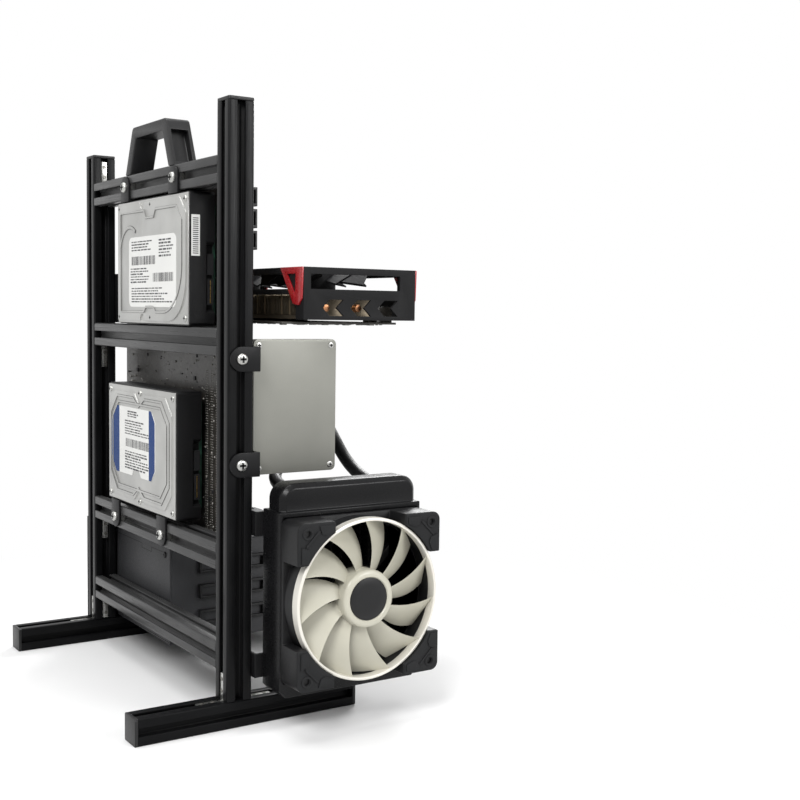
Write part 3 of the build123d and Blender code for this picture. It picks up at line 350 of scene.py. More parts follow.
def add_turned(bm, origin, axis, profile, kind=0, segments=32, start=0.0, sweep=360.0):
    """A turned shape from (radius, height) pairs along an axis, a full turn or a part of one."""
    axis = Vector(axis)
    side = Vector((0, 0, 1)) if abs(axis.z) < 0.5 else Vector((1, 0, 0))
    other = axis.cross(side)
    full = sweep >= 360.0
    count = segments if full else segments + 1
    rings = []
    for radius, height in profile:
        middle = at(origin) + axis * height * MM
        if radius == 0:
            rings.append([bm.verts.new(middle)] * count)
            continue
        ring = []
        for step in range(count):
            turn = math.radians(start + sweep * step / segments)
            ring.append(bm.verts.new(middle + (side * math.cos(turn) + other * math.sin(turn)) * radius * MM))
        rings.append(ring)
    skin(bm, rings, full, kind)


def add_plate(bm, outline, origin, across, up, thick):
    """A flat plate whose outline of (across, up) pairs is thickened along the third direction."""
    across = Vector(across)
    up = Vector(up)
    out = across.cross(up) * thick * MM
    near = [bm.verts.new(at(origin) + (across * u + up * v) * MM) for u, v in outline]
    far = [bm.verts.new(vertex.co + out) for vertex in near]
    bm.faces.new(near)
    bm.faces.new(far)
    skin(bm, (near, far), True)


def around(radius, degrees):
    """Two coordinates of a place on a circle round nought."""
    turn = math.radians(degrees)
    return radius * math.cos(turn), radius * math.sin(turn)


def rounded_outline(wide, tall, radius):
    """The outline of a label with round corners, its first corner at zero."""
    outline = []
    right, top = wide - radius, tall - radius
    for quarter, (across, up) in enumerate(((right, radius), (right, top), (radius, top), (radius, radius))):
        for step in range(CORNER_STEPS + 1):
            side, rise = around(radius, quarter * 90 - 90 + step * 90 / CORNER_STEPS)
            outline.append((across + side, up + rise))
    return outline


def settle(piece, body, slot, nodes):
    """Smooth shading between sharp edges, and the body and the replaced nodes of a piece; its slot is not
    used.
    """
    piece.data.shade_smooth()
    piece.data.set_sharp_from_angle(angle=SHARP_ANGLE)
    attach(piece, body)
    if nodes:
        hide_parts(*nodes)


def finish_piece(name, bm, slot, kinds=(), nodes=(), bevel=0.0, body=BENCH):
    """Turns a built mesh into a piece that rides on a body, in its slot's finish if no others are named."""
    bmesh.ops.recalc_face_normals(bm, faces=bm.faces)
    if bevel:
        edges = [edge for edge in bm.edges if edge.is_manifold and edge.calc_face_angle(0.0) > SHARP_ANGLE]
        rounding = dict(offset_type="OFFSET", segments=2, profile=0.6, affect="EDGES", clamp_overlap=True)
        bmesh.ops.bevel(bm, geom=edges, offset=bevel * MM, **rounding)
    mesh = bpy.data.meshes.new(name)
    bm.to_mesh(mesh)
    bm.free()
    for kind in kinds or (slot,):
        mesh.materials.append(finishes[kind])
    settle(add_object(name, mesh), body, slot, nodes)


def joined_copy(node):
    """A mesh of a node with its doubled points joined."""
    bm = bmesh.new()
    bm.from_mesh(frame["nodes"][node].data)
    bmesh.ops.remove_doubles(bm, verts=bm.verts, dist=JOIN_REACH)
    return bm


# Softened edges: a copy of a node whose edges are rounded off by so many millimetres
BOARD_PLASTIC = ("card_slots", "memory_slots", "audio_jacks", "mouse_port", "cable_sockets")
DRIVE_BASES = ("upper_drive_base", "lower_drive_base")
DRIVE_COVERS = ("upper_drive_cover", "lower_drive_cover")
HEATSINKS = ("chipset_heatsink", "power_heatsink")
SOFT_EDGES = {
    0.5: UPRIGHTS + FEET + ("tab_brackets", "psu_bracket"),
    0.6: CROSSBARS + ("end_caps", "card_plate"),
    0.9: ("handle", "radiator_frame"),
    0.3: BOARD_PLASTIC + ("port_towers", "psu_sockets"),
    0.2: ("mainboard", "drive_boards", "cpu_socket", "card_board"),
    0.25: HEATSINKS + ("corner_connectors", "card_bracket", "psu_inlet", "card_trim"),
    0.4: DRIVE_BASES + DRIVE_COVERS + ("ssd_case", "ssd_cover"),
    0.7: ("pump_body", "hose_fittings", "fan_pads", "fan_frame", "card_shroud", "psu_cover", "psu_case"),
}


def soften(node, width):
    """Rounds a node's edges, as a coat, a mould or a press leaves them."""
    bm = joined_copy(node)
    bmesh.ops.dissolve_limit(bm, angle_limit=FLAT_ANGLE, verts=bm.verts, edges=bm.edges)
    finish_piece(node + "_soft", bm, node_slot[node], [node_finish[node]], (node,), width)


for width, nodes in SOFT_EDGES.items():
    for node in nodes:
        soften(node, width)


# Repeated shapes: one node group that sets a shape on points, turned and sized by each point's own values
def make_repeat_group():
    """Points, a shape and a finish go in; one real mesh comes out."""
    group = bpy.data.node_groups.new("repeat_on_points", "GeometryNodeTree")
    for name, kind in (("Points", "Geometry"), ("Shape", "Object"), ("Finish", "Material")):
        group.interface.new_socket(name, in_out="INPUT", socket_type="NodeSocket" + kind)
    group.interface.new_socket("Result", in_out="OUTPUT", socket_type="NodeSocketGeometry")
    start = group.nodes.new("NodeGroupInput").outputs
    shape = add_node(group, "GeometryNodeObjectInfo", {"Object": start["Shape"]})
    values = []
    for name in ("turn", "size"):
        value = add_node(group, "GeometryNodeInputNamedAttribute", {"Name": name}, data_type="FLOAT_VECTOR")
        values.append(value.outputs["Attribute"])
    rotation = add_node(group, "FunctionNodeEulerToRotation", {"Euler": values[0]})
    setting = {
        "Points": start["Points"],
        "Instance": shape.outputs["Geometry"],
        "Rotation": rotation.outputs["Rotation"],
        "Scale": values[1],
    }
    place = add_node(group, "GeometryNodeInstanceOnPoints", setting)
    real = add_node(group, "GeometryNodeRealizeInstances", {"Geometry": place.outputs["Instances"]})
    painted = {"Geometry": real.outputs["Geometry"], "Material": start["Finish"]}
    paint = add_node(group, "GeometryNodeSetMaterial", painted)
    add_node(group, "NodeGroupOutput", {"Result": paint.outputs["Geometry"]})
    return group


REPEAT_GROUP = make_repeat_group()
QUARTER = math.pi / 2
OUT = {
    "+x": (0.0, QUARTER, 0.0),
    "-x": (0.0, -QUARTER, 0.0),
    "+y": (-QUARTER, 0.0, 0.0),
    "-y": (QUARTER, 0.0, 0.0),
    "+z": (0.0, 0.0, 0.0),
    "-z": (math.pi, 0.0, 0.0),
}


def repeat(name, shape, places, kind, slot, nodes=()):
    """One mesh of a shape set at many places, each a point, a way it faces and a size in millimetres."""
    cloud = bpy.data.meshes.new(name)
    cloud.from_pydata([at(place) for place, facing, size in places], [], [])
    turns = cloud.attributes.new("turn", "FLOAT_VECTOR", "POINT")
    sizes = cloud.attributes.new("size", "FLOAT_VECTOR", "POINT")
    for index, (place, facing, size) in enumerate(places):
        turns.data[index].vector = OUT[facing]
        sizes.data[index].vector = Vector(size) * MM
    piece = add_object(name, cloud)
    modifier = piece.modifiers.new("repeat", "NODES")
    modifier.node_group = REPEAT_GROUP
    values = {"Shape": shape, "Finish": finishes[kind]}
    for socket in REPEAT_GROUP.interface.items_tree:
        if socket.in_out == "INPUT" and socket.name in values:
            modifier[socket.identifier] = values[socket.name]
    evaluated = piece.evaluated_get(bpy.context.evaluated_depsgraph_get())
    mesh = bpy.data.meshes.new_from_object(evaluated)
    piece.modifiers.clear()
    piece.data = mesh
    settle(piece, BENCH, slot, nodes)


def unit_shape(name, bm):
    """An object for repeats from a built mesh."""
    mesh = bpy.data.meshes.new(name)
    bm.to_mesh(mesh)
    bm.free()
    return bpy.data.objects.new(name, mesh)


def make_shape(name, profile, segments, corners=()):
    """A turned shape of unit size for repeats; the profile rings listed in corners are six sided."""
    bm = bmesh.new()
    rings = []
    for index, (radius, height) in enumerate(profile):
        ring = []
        for step in range(segments):
            turn = 2 * math.pi * step / segments
            reach = radius
            if index in corners:
                reach = radius * math.cos(math.pi / 6) / math.cos(turn % (math.pi / 3) - math.pi / 6)
            ring.append(bm.verts.new((reach * math.cos(turn), reach * math.sin(turn), height)))
        rings.append(ring)
    skin(bm, rings, True)
    bm.faces.new(rings[-1])
    return unit_shape(name, bm)


def make_slab(name, taper):
    """A unit block whose top is drawn in a little."""
    bm = bmesh.new()
    low = [bm.verts.new((x, y, 0)) for x, y in ((-0.5, -0.5), (0.5, -0.5), (0.5, 0.5), (-0.5, 0.5))]
    middle = [bm.verts.new((vertex.co.x, vertex.co.y, 0.8)) for vertex in low]
    high = [bm.verts.new((vertex.co.x * taper, vertex.co.y * taper, 1)) for vertex in low]
    skin(bm, (low, middle, high), True)
    bm.faces.new(high)
    return unit_shape(name, bm)


PAN_PROFILE = ((1, 0), (1, 0.3), (0.95, 0.58), (0.84, 0.8), (0.66, 0.95), (0.4, 1.0), (0.1, 1.01))
SET_PROFILE = ((1, 0), (1, 0.9), (0.9, 1), (0.58, 1), (0.55, 0.4), (0.1, 0.35))
CAN_PROFILE = ((0.94, 0), (1, 0.04), (1, 0.09), (0.94, 0.13), (1, 0.17), (1, 0.93), (0.93, 1), (0.8, 0.97))
PAN_HEAD = make_shape("pan_head", PAN_PROFILE, 24)
SET_SCREW = make_shape("set_screw", SET_PROFILE, 24, (3, 4))
BEAD = make_shape("bead", ((1, 0), (0.85, 0.5), (0.45, 0.9), (0.12, 1)), 8)
CAN = make_shape("can", CAN_PROFILE, 20)
SLAB = make_slab("slab", 0.92)
DASH = make_slab("dash", 0.98)
SHAPES = (PAN_HEAD, SET_SCREW, BEAD, CAN, SLAB, DASH)
# The dark cross on a pan head is painted shade standing in for its sunk cross
CROSS_HEIGHT = 0.86
CROSS_ARMS = ((1.15, 0.36), (0.36, 1.15))


def facing_along(axis, way):
    """The name of the side that a way along an axis points to."""
    return ("+" if way > 0 else "-") + "xyz"[axis]


def screws(name, places, kind, slot, nodes=()):
    """Pan heads, each with a flat dark cross on its top, painted shade for the sunk cross of a real head."""
    repeat(name, PAN_HEAD, places, kind, slot, nodes)
    crosses = []
    for place, facing, size in places:
        top = list(place)
        top["xyz".index(facing[1])] += size[2] * (CROSS_HEIGHT if facing[0] == "+" else -CROSS_HEIGHT)
        for wide, tall in CROSS_ARMS:
            crosses.append((tuple(top), facing, (size[0] * wide, size[0] * tall, size[2] * 0.18)))
    repeat(name + "_recess", DASH, crosses, "port_dark", slot)


# Bar frame: screws at the brackets and small ones in the slot connectors
HEAD_GROWTH = 1.15
FACE_RISE = 1.7
FACE_HALF_WIDTH = 2.3
FACE_OVERLAP = 0.2
LEAST_WALL = 0.5
SET_SCREW_SIZE = (1.6, 1.6, 0.35)
SET_SCREW_SHARES = (0.48, 0.82)


def island_points(node):
    """The points of each loose part of a node, in a fixed order."""
    bm = joined_copy(node)
    bm.verts.index_update()
    seen = set()
    parts = []
    for first in bm.verts:
        if first.index in seen:
            continue
        seen.add(first.index)
        group = [first]
        for vertex in group:
            for edge in vertex.link_edges:
                other = edge.other_vert(vertex)
                if other.index not in seen:
                    seen.add(other.index)
                    group.append(other)
        parts.append([vertex.co / MM - FRAME_SHIFT for vertex in group])
    bm.free()
    return parts


def corners_of(points):
    """The low and high corner round some points."""
    low = Vector([min(point[axis] for point in points) for axis in range(3)])
    high = Vector([max(point[axis] for point in points) for axis in range(3)])
    return low, high


def islands(node):
    """The low and high corner of each loose part of a node."""
    return [corners_of(points) for points in island_points(node)]


def bar_screws():
    """Button heads where the solid has plain discs."""
    places = []
    for low, high in islands("frame_screws"):
        size = high - low
        axis = min(range(3), key=lambda index: size[index])
        outward = 1 if (low[axis] + high[axis]) / 2 > 0 else -1
        middle = (low + high) / 2
        middle[axis] = low[axis] if outward > 0 else high[axis]
        radius = max(size) / 2
        places.append((middle, facing_along(axis, outward), (radius, radius, size[axis] * HEAD_GROWTH)))
    screws("bar_screws", places, "bright_steel", "bright_steel", ("frame_screws",))


def connector_faces():
    """The bright face of each leg of an angle connector, just under the slot's mouth, with two set screws."""
    places = []
    bm = bmesh.new()
    for points in island_points("corner_connectors"):
        low, high = corners_of(points)
        middle = (low + high) / 2
        size = high - low
        thin = min(range(3), key=lambda axis: size[axis])
        mean = sum(points, Vector()) / len(points)
        bends = {}
        for axis in range(3):
            if axis != thin:
                bends[axis] = (low[axis], 1) if mean[axis] < middle[axis] else (high[axis], -1)
        for along, (start, way) in bends.items():
            across = next(axis for axis in bends if axis != along)
            base, out = bends[across]
            heights = [abs(point[across] - base) for point in points]
            thick = min(height for height in heights if height > LEAST_WALL)
            near = middle.copy()
            far = middle.copy()
            near[thin] -= FACE_HALF_WIDTH
            far[thin] += FACE_HALF_WIDTH
            near[along] = start + way * (thick + FACE_RISE)
            far[along] = start + way * (size[along] - FACE_OVERLAP)
            near[across] = base + out * (thick - FACE_OVERLAP)
            far[across] = base + out * (thick + FACE_RISE)
            add_block(bm, near, far)
            for share in SET_SCREW_SHARES:
                place = middle.copy()
                place[along] = start + way * size[along] * share
                place[across] = base + out * (thick + FACE_RISE)
                places.append((tuple(place), facing_along(across, out), SET_SCREW_SIZE))
    finish_piece("connector_faces", bm, "bright_steel", bevel=0.25)
    repeat("connector_screws", SET_SCREW, places, "tin", "bright_steel")


# Cooler fan: ringed rotor with wide swept blades
FAN_CENTRE = (-185.0, -76.0, 98.0)
FAN_OUT = (-1, 0, 0)
FAN_DEPTH = 20.0
RING_DEPTH = 8.0
FAN_BLADES = 11
BLADE_ROOT = 19.5
BLADE_TIP = 57.0
BLADE_HALF_ANGLE = 11.8
BLADE_SWELL = 1.7
BLADE_SWEEP = math.radians(15.0)
BLADE_PITCH = math.tan(math.radians(32.0))
BLADE_BOW = 2.2
BLADE_REACH = 8.4
BLADE_LIFT = 0.8
BLADE_HALF_THICK = 0.85
BLADE_STEPS = 14
CHORD_STEPS = 10
HUB_SIDE = ((20.0, 0), (21.3, 0.6), (21.3, 16.8), (21.0, 18.0), (20.2, 19.0))
HUB_PROFILE = HUB_SIDE + ((18.6, 19.6), (16.6, 19.7), (16.0, 19.2), (15.6, 18.4))
DISC_PROFILE = ((15.6, 18.4), (15.5, 19.0), (15.0, 19.3), (9.0, 19.42), (4.0, 19.46), (0, 19.47))


def fan_point(radius, turn, depth):
    """A place on the rotor seen from outside: turn runs counter-clockwise from the front."""
    x, y, z = FAN_CENTRE
    return at((x - depth, y - radius * math.cos(turn), z + radius * math.sin(turn)))


def blade_point(share, across, face):
    """Radius, turn and depth at one point of a blade's upper face, 1, or lower face, -1."""
    radius = BLADE_ROOT + (BLADE_TIP - BLADE_ROOT) * share
    half_angle = math.radians(BLADE_HALF_ANGLE + BLADE_SWELL * math.sin(share * math.pi * 0.8))
    turn = BLADE_SWEEP * share**1.5 + across * half_angle
    rise = across * radius * half_angle * BLADE_PITCH
    bow = BLADE_BOW * (1 - across * across) * share
    middle = FAN_DEPTH / 2 + max(-BLADE_REACH, min(BLADE_REACH, rise)) - bow + BLADE_LIFT * share
    thick = BLADE_HALF_THICK * (1 - 0.75 * abs(across) ** 3)
    return radius, turn, middle + face * thick


def blade_grid(bm, base, face):
    """Rows of points over one face of the blade that stands at a turn."""
    grid = []
    for step in range(BLADE_STEPS + 1):
        row = []
        for place in range(CHORD_STEPS + 1):
            radius, turn, depth = blade_point(step / BLADE_STEPS, 2 * place / CHORD_STEPS - 1, face)
            row.append(bm.verts.new(fan_point(radius, base + turn, depth)))
        grid.append(row)
    return grid


def cooler_fan():
    """Blades closed on all sides, the ring round their tips, the hub and the disc in it."""
    bm = bmesh.new()
    for blade in range(FAN_BLADES):
        base = 2 * math.pi * blade / FAN_BLADES
        upper = blade_grid(bm, base, 1)
        lower = blade_grid(bm, base, -1)
        skin(bm, upper)
        skin(bm, lower)
        for end in (0, -1):
            skin(bm, ([row[end] for row in upper], [row[end] for row in lower]))
        for end in (0, -1):
            skin(bm, (upper[end], lower[end]))
    front = FAN_DEPTH
    back = FAN_DEPTH - RING_DEPTH
    ring = [(57.2, back), (59.0, back), (59.4, back + 0.5), (59.4, front - 0.9), (59.0, front - 0.3)]
    ring += [(58.5, front), (57.6, front), (57.2, front - 0.3), (56.9, front - 1.2), (56.9, back + 0.8)]
    ring += [(57.2, back)]
    add_turned(bm, FAN_CENTRE, FAN_OUT, ring, 1, 96)
    add_turned(bm, FAN_CENTRE, FAN_OUT, HUB_PROFILE, 0, 64)
    add_turned(bm, FAN_CENTRE, FAN_OUT, DISC_PROFILE, 2, 64)
    kinds = ("fan_cream", "ring", "fan_black")
    finish_piece("cooler_fan", bm, "fan_cream", kinds, ("fan_rotor",), body="radiator_fan")


# Fan pads: outlines measured from the fan's centre
PAD_HOLE = 52.5
PAD_BLOCK = ((57.6, 31.6), (52.6, 31.6), (50.4, 37.6), (51.6, 41.4), (57.6, 43.4))
PAD_RIDGE = ((44.4, 54.0), (42.4, 54.0), (54.0, 42.4), (54.0, 44.4))
PAD_WASHER = ((2.7, -0.3), (2.7, 0.5), (2.9, 0.7), (4.1, 0.7), (4.4, 0.4), (4.4, -0.3))
PAD_SINK = 0.2
PAD_THICK = 1.1


def pad_ridges():
    """A washer, a slanted ridge and two raised blocks on each of the fan frame's four rubber corners."""
    face = node_box("fan_pads")[0].x
    bm = bmesh.new()
    turned_block = [(up, across) for across, up in PAD_BLOCK]
    for side in (-1, 1):
        for level in (-1, 1):
            hole = (face, FAN_CENTRE[1] + side * PAD_HOLE, FAN_CENTRE[2] + level * PAD_HOLE)
            add_turned(bm, hole, FAN_OUT, PAD_WASHER, 0, 20)
            middle = (face + PAD_SINK, FAN_CENTRE[1], FAN_CENTRE[2])
            for outline in (PAD_BLOCK, turned_block, PAD_RIDGE):
                add_plate(bm, outline, middle, (0, side, 0), (0, 0, level), -side * level * PAD_THICK)
    finish_piece("pad_ridges", bm, "pad_rubber", bevel=0.2)


# Radiator core: flat tubes with folded fins between them
TUBES = 14
TUBE_HALF = 0.9
FIN_FOLD = 2.6


def radiator_core():
    """The tubes stand upright, and each fin is one sheet folded to and fro between two of them."""
    low, high = node_box("radiator_core")
    bm = bmesh.new()
    pitch = (high.y - low.y) / TUBES
    count = int((high.z - low.z) / FIN_FOLD)
    for tube in range(TUBES + 1):
        y = low.y + pitch * tube
        near = (low.x + 1.0, max(low.y, y - TUBE_HALF), low.z)
        add_block(bm, near, (high.x - 1.0, min(high.y, y + TUBE_HALF), high.z))
    for tube in range(TUBES):
        near = low.y + pitch * tube + TUBE_HALF
        far = near + pitch - 2 * TUBE_HALF
        rows = []
        for step in range(count + 1):
            y = near if step % 2 else far
            z = low.z + (high.z - low.z) * step / count
            rows.append([bm.verts.new(at((x, y, z))) for x in (low.x + 2.0, high.x - 2.0)])
        skin(bm, rows, kind=1)
    kinds = ("radiator_black", "heatsink_dark")
    finish_piece("radiator_tubes", bm, "radiator_black", kinds, ("radiator_core",))


# Hard drives: cover screws, printed labels, pressed beads and sockets
COVER_SCREW_INSET = 4.6
COVER_SCREW_SINK = 1.2
PRINT_THICK = 0.06
# Each print is a range along x, a range along z, a number of rows, or nought for bars, and a seed
LABEL_PRINTS = (
    ((-24, 30), (352, 361), 4, 3),
    ((-58, -28), (346, 361), 6, 5),
    ((-20, 30), (341, 348), 0, 7),
    ((-10, 32), (326, 339), 6, 9),
    ((-56, -16), (327, 334), 0, 11),
    ((-58, 30), (310, 323), 6, 13),
    ((16, 40), (214, 220), 3, 15),
    ((-14, 46), (199, 212), 6, 17),
    ((-10, 44), (189, 196), 0, 19),
    ((-14, 46), (170, 186), 7, 21),
)
# Outlines of the coloured panels, from the frame's middle and the lower label's foot
LEFT_PANEL = ((59, 0), (66, 0), (77.4, 13), (77.4, 43), (66, 57), (59, 57))
RIGHT_PANEL = ((-7, 57), (-12, 57), (-19.4, 48), (-19.4, 9), (-12, 0), (-7, 0))
PANEL_THICK = 0.07
LABEL_RADIUS = 6
BEAD_PROFILE = ((-1, -0.05), (-0.6, 0.75), (0, 1.0), (0.6, 0.75), (1, -0.05))
# Finish of each strip across a bead: the two side strips take the darker lid finish as painted shade
BEAD_PAINTED_SHADE_STRIPS = (1, 0, 0, 1)
FRAME_BEAD = (2.4, 0.8)
ARC_BEAD = (3.4, 0.7)
ARC_CENTRE = (34.5, 351)
ARC_RADIUS = 21.5
EDGE_INSET = 9
WIDE_CORNER = 36


def drive_cover_screws():
    """Small screws at the covers' corners and at the middle of their long sides."""
    places = []
    for node in DRIVE_COVERS:
        low, high = node_box(node)
        y = high.y - COVER_SCREW_SINK
        for x in (low.x + COVER_SCREW_INSET, (low.x + high.x) / 2, high.x - COVER_SCREW_INSET):
            for z in (low.z + COVER_SCREW_INSET, high.z - COVER_SCREW_INSET):
                places.append(((x, y, z), "+y", (2.5, 2.5, 1.2)))
    screws("drive_cover_screws", places, "bright_steel", "drive_lid")


def print_rows(places, x_range, z_range, rows, y, seed):
    """Rows of short dashes that stand for small print."""
    chance = random.Random(seed)
    for row in range(rows):
        z = z_range[1] - (z_range[1] - z_range[0]) * (row + 0.5) / rows
        tall = (z_range[1] - z_range[0]) / rows * chance.uniform(0.35, 0.6)
        x = x_range[1]
        stop = x_range[0] + (x_range[1] - x_range[0]) * chance.uniform(0.0, 0.45)
        while x > stop:
            long = chance.uniform(1.5, 7.0)
            if x - long < x_range[0]:
                break
            places.append(((x - long / 2, y, z), "+y", (long, tall, PRINT_THICK)))
            x -= long + chance.uniform(0.7, 1.6)


def print_bars(places, x_range, z_range, y, seed):
    """A strip of thin upright bars."""
    chance = random.Random(seed)
    x = x_range[0]
    z = (z_range[0] + z_range[1]) / 2
    while x < x_range[1]:
        wide = chance.choice((0.4, 0.6, 0.9))
        places.append(((x, y, z), "+y", (wide, z_range[1] - z_range[0], PRINT_THICK)))
        x += wide + chance.choice((0.4, 0.7, 1.0))


def drive_prints():
    """Dashes and bars on both labels, and the coloured panels at the ends of the lower one."""
    low, high = node_box("drive_labels")
    places = []
    for x_range, z_range, rows, seed in LABEL_PRINTS:
        if rows:
            print_rows(places, x_range, z_range, rows, high.y, seed)
        else:
            print_bars(places, x_range, z_range, high.y, seed)
    repeat("label_print", DASH, places, "ink", "label_paper")
    bm = bmesh.new()
    for outline in (LEFT_PANEL, RIGHT_PANEL):
        add_plate(bm, outline, (0, high.y, low.z), (1, 0, 0), (0, 0, 1), -PANEL_THICK)
    finish_piece("label_panels", bm, "label_paper", ["blue"])


def drive_labels():
    """The upper label has round corners; the lower one is cut at its corners and notched at its foot."""
    bm = bmesh.new()
    boxes = sorted(islands("drive_labels"), key=lambda box: box[0].z)
    lower_low, lower_high = boxes[0]
    upper_low, upper_high = boxes[-1]
    wide = lower_high.x - lower_low.x
    tall = lower_high.z - lower_low.z
    notched = [(8, 0), (30, 0), (35, 6), (46, 6), (50, 0), (wide - 12, 0), (wide, 13), (wide, tall - 14)]
    notched += [(wide - 12, tall), (8, tall), (0, tall - 9), (0, 9)]
    thick = lower_low.y - lower_high.y
    add_plate(bm, notched, lower_low, (1, 0, 0), (0, 0, 1), thick)
    rounded = rounded_outline(upper_high.x - upper_low.x, upper_high.z - upper_low.z, LABEL_RADIUS)
    add_plate(bm, rounded, upper_low, (1, 0, 0), (0, 0, 1), thick)
    finish_piece("drive_label_sheets", bm, "label_paper", nodes=("drive_labels",))


def add_bead(bm, points, y, width, height, closed=True):
    """A low rounded bead pressed along a line of (x, z) points on a cover, its two side strips in a darker
    finish as painted shade.
    """
    count = len(points)
    rows = []
    for index, (x, z) in enumerate(points):
        before = Vector(points[index - 1] if closed or index else points[index])
        after = Vector(points[(index + 1) % count] if closed or index < count - 1 else points[index])
        along = (after - before).normalized()
        side = Vector((along.y, -along.x)) * width / 2
        row = []
        for share, rise in BEAD_PROFILE:
            row.append(bm.verts.new(at((x + side.x * share, y + height * rise, z + side.y * share))))
        rows.append(row)
    if closed:
        rows.append(rows[0])
    for row, following in zip(rows, rows[1:]):
        for step, kind in enumerate(BEAD_PAINTED_SHADE_STRIPS):
            face = bm.faces.new((row[step], row[step + 1], following[step + 1], following[step]))
            face.material_index = kind


def upper_cover_edge(low, high):
    """The line of the bead round the upper cover, with a notch at its middle and one wide round corner."""
    middle = (low.x + high.x) / 2
    left, right = low.x + EDGE_INSET, high.x - EDGE_INSET
    foot, top = low.z + EDGE_INSET, high.z - EDGE_INSET
    line = [(right, top), (middle + 12, top), (middle + 8, top - 6), (middle - 8, top - 6)]
    line += [(middle - 12, top), (left + 10, top), (left, top - 11)]
    for step in range(13):
        x, z = around(WIDE_CORNER, 180 + 7.5 * step)
        line.append((left + WIDE_CORNER + x, foot + WIDE_CORNER + z))
    line += [(middle - 12, foot), (middle - 8, foot + 4), (middle + 8, foot + 4), (middle + 12, foot)]
    return line + [(right, foot)]


def lower_cover_frame(low, high, inset, cut, notch):
    """The line of a bead round the lower cover, cut at its corners and notched at its middle."""
    left, right = low.x + inset, high.x - inset
    foot, top = low.z + inset, high.z - inset
    middle = (left + right) / 2
    line = [(left + cut, foot), (middle - 12, foot), (middle, foot + notch), (middle + 12, foot)]
    line += [(right - cut, foot), (right, foot + cut), (right, top - cut), (right - cut, top)]
    line += [(middle + 12, top), (middle, top - notch), (middle - 12, top)]
    return line + [(left + cut, top), (left, top - cut), (left, foot + cut)]


def pressed_beads():
    """Beads pressed into the covers: an arc and a frame on the upper one, two frames on the lower one."""
    bm = bmesh.new()
    low, high = node_box("upper_drive_cover")
    spokes = [around(ARC_RADIUS, 6 * step) for step in range(22)]
    arc = [(ARC_CENTRE[0] + x, ARC_CENTRE[1] + z) for x, z in spokes]
    add_bead(bm, arc, high.y, *ARC_BEAD, False)
    add_bead(bm, upper_cover_edge(low, high), high.y, *FRAME_BEAD)
    low, high = node_box("lower_drive_cover")
    for inset, cut, notch in ((9.0, 15.0, 7.0), (14.0, 13.0, 0.0)):
        add_bead(bm, lower_cover_frame(low, high, inset, cut, notch), high.y, *FRAME_BEAD)
    finish_piece("pressed_beads", bm, "drive_lid", ["drive_lid", "lid_bead_painted_shade"])


def drive_ends():
    """Two sockets in each drive's outer end, one of them gilt, and a barred strip on the upper drive."""
    bm = bmesh.new()
    contacts = []
    bars = []
    for node in DRIVE_BASES:
        low = node_box(node)[0]
        if node == "upper_drive_base":
            add_block(bm, (low.x - 0.08, 2.0, low.z + 53), (low.x + 0.05, 9.0, low.z + 84), 0)
            for bar in range(18):
                bars.append(((low.x - 0.08, 5.5, low.z + 55 + bar * 1.55), "-x", (0.7, 4.6, 0.05)))
        for start, end in ((16, 36), (39, 55)):
            add_block(bm, (low.x + 1.2, -9.8, low.z + start), (low.x + 4.6, -4.6, low.z + end), 1)
        for pin in range(15):
            contacts.append(((low.x + 1.2, -7.2, low.z + 18 + pin * 1.15), "-x", (1.4, 0.6, 0.4)))
    finish_piece("drive_end_strips", bm, "label_paper", ["label_paper", "chip"])
    repeat("drive_contacts", DASH, contacts, "gold", "cast_aluminium")
    repeat("drive_end_bars", DASH, bars, "ink", "label_paper")


# Small drive: corner screws and a printed sticker on its board side
SMALL_SCREW_INSET = 4.5
STICKER_INSET = (8, 10)
STICKER_SINK = 0.05
STICKER_THICK = 0.15


def small_drive():
    """Screws at the case's corners, and on the other side a sticker with rows of dashes."""
    low, high = node_box("ssd_cover")
    case_low, case_high = node_box("ssd_case")
    places = []
    for y in (case_low.y + SMALL_SCREW_INSET, case_high.y - SMALL_SCREW_INSET):
        for z in (case_low.z + SMALL_SCREW_INSET, case_high.z - SMALL_SCREW_INSET):
            places.append(((min(low.x, case_low.x), y, z), "-x", (2.4, 2.4, 0.5)))
    screws("small_drive_screws", places, "bright_steel", "ssd_grey")
    bm = bmesh.new()
    face = max(high.x, case_high.x)
    sticker = rounded_outline(case_high.y - case_low.y - 16, case_high.z - case_low.z - 24, 3)
    corner = (face - STICKER_SINK, case_low.y + STICKER_INSET[0], case_low.z + STICKER_INSET[1])
    add_plate(bm, sticker, corner, (0, 1, 0), (0, 0, 1), STICKER_THICK)
    finish_piece("small_drive_sticker", bm, "label_paper")
    chance = random.Random(31)
    prints = []
    for row in range(14):
        z = case_high.z - 19 - row * 4.6
        y = case_low.y + 12
        while y < case_high.y - 20:
            long = chance.uniform(2, 9)
            prints.append(((face + 0.1, y + long / 2, z), "+x", (1.6, long, 0.05)))
            y += long + chance.uniform(1, 2.5)
            if chance.random() < 0.16:
                break
    repeat("small_drive_print", DASH, prints, "ink", "label_paper")


# Mainboard: solder points behind, small parts in front
SOLDER_PITCH = 2.0
SOLDER_INSET = 3
SOLDER_SIDES = (-1.4, 1.4)
BOARD_FITTINGS = BOARD_PLASTIC + HEATSINKS + ("port_towers",)
PUMP_AREA = (Vector((-25, 0, 160)), Vector((45, 0, 230)))
CAN_COLUMN = [(109, z) for z in (338, 347, 356, 365, 374)]
CAN_ROWS = [(x, z) for x in (-44, -35, -26, -17, 44, 52) for z in (148, 240)]
COIL_COLUMN = [(54, 150 + step * 13.0) for step in range(6)]


def random_spot(chance, low, high, margin=0):
    """A chance place on the board, kept clear of its edge."""
    x = chance.uniform(low.x + margin, high.x - margin)
    z = chance.uniform(low.z + margin, high.z - margin)
    return x, z


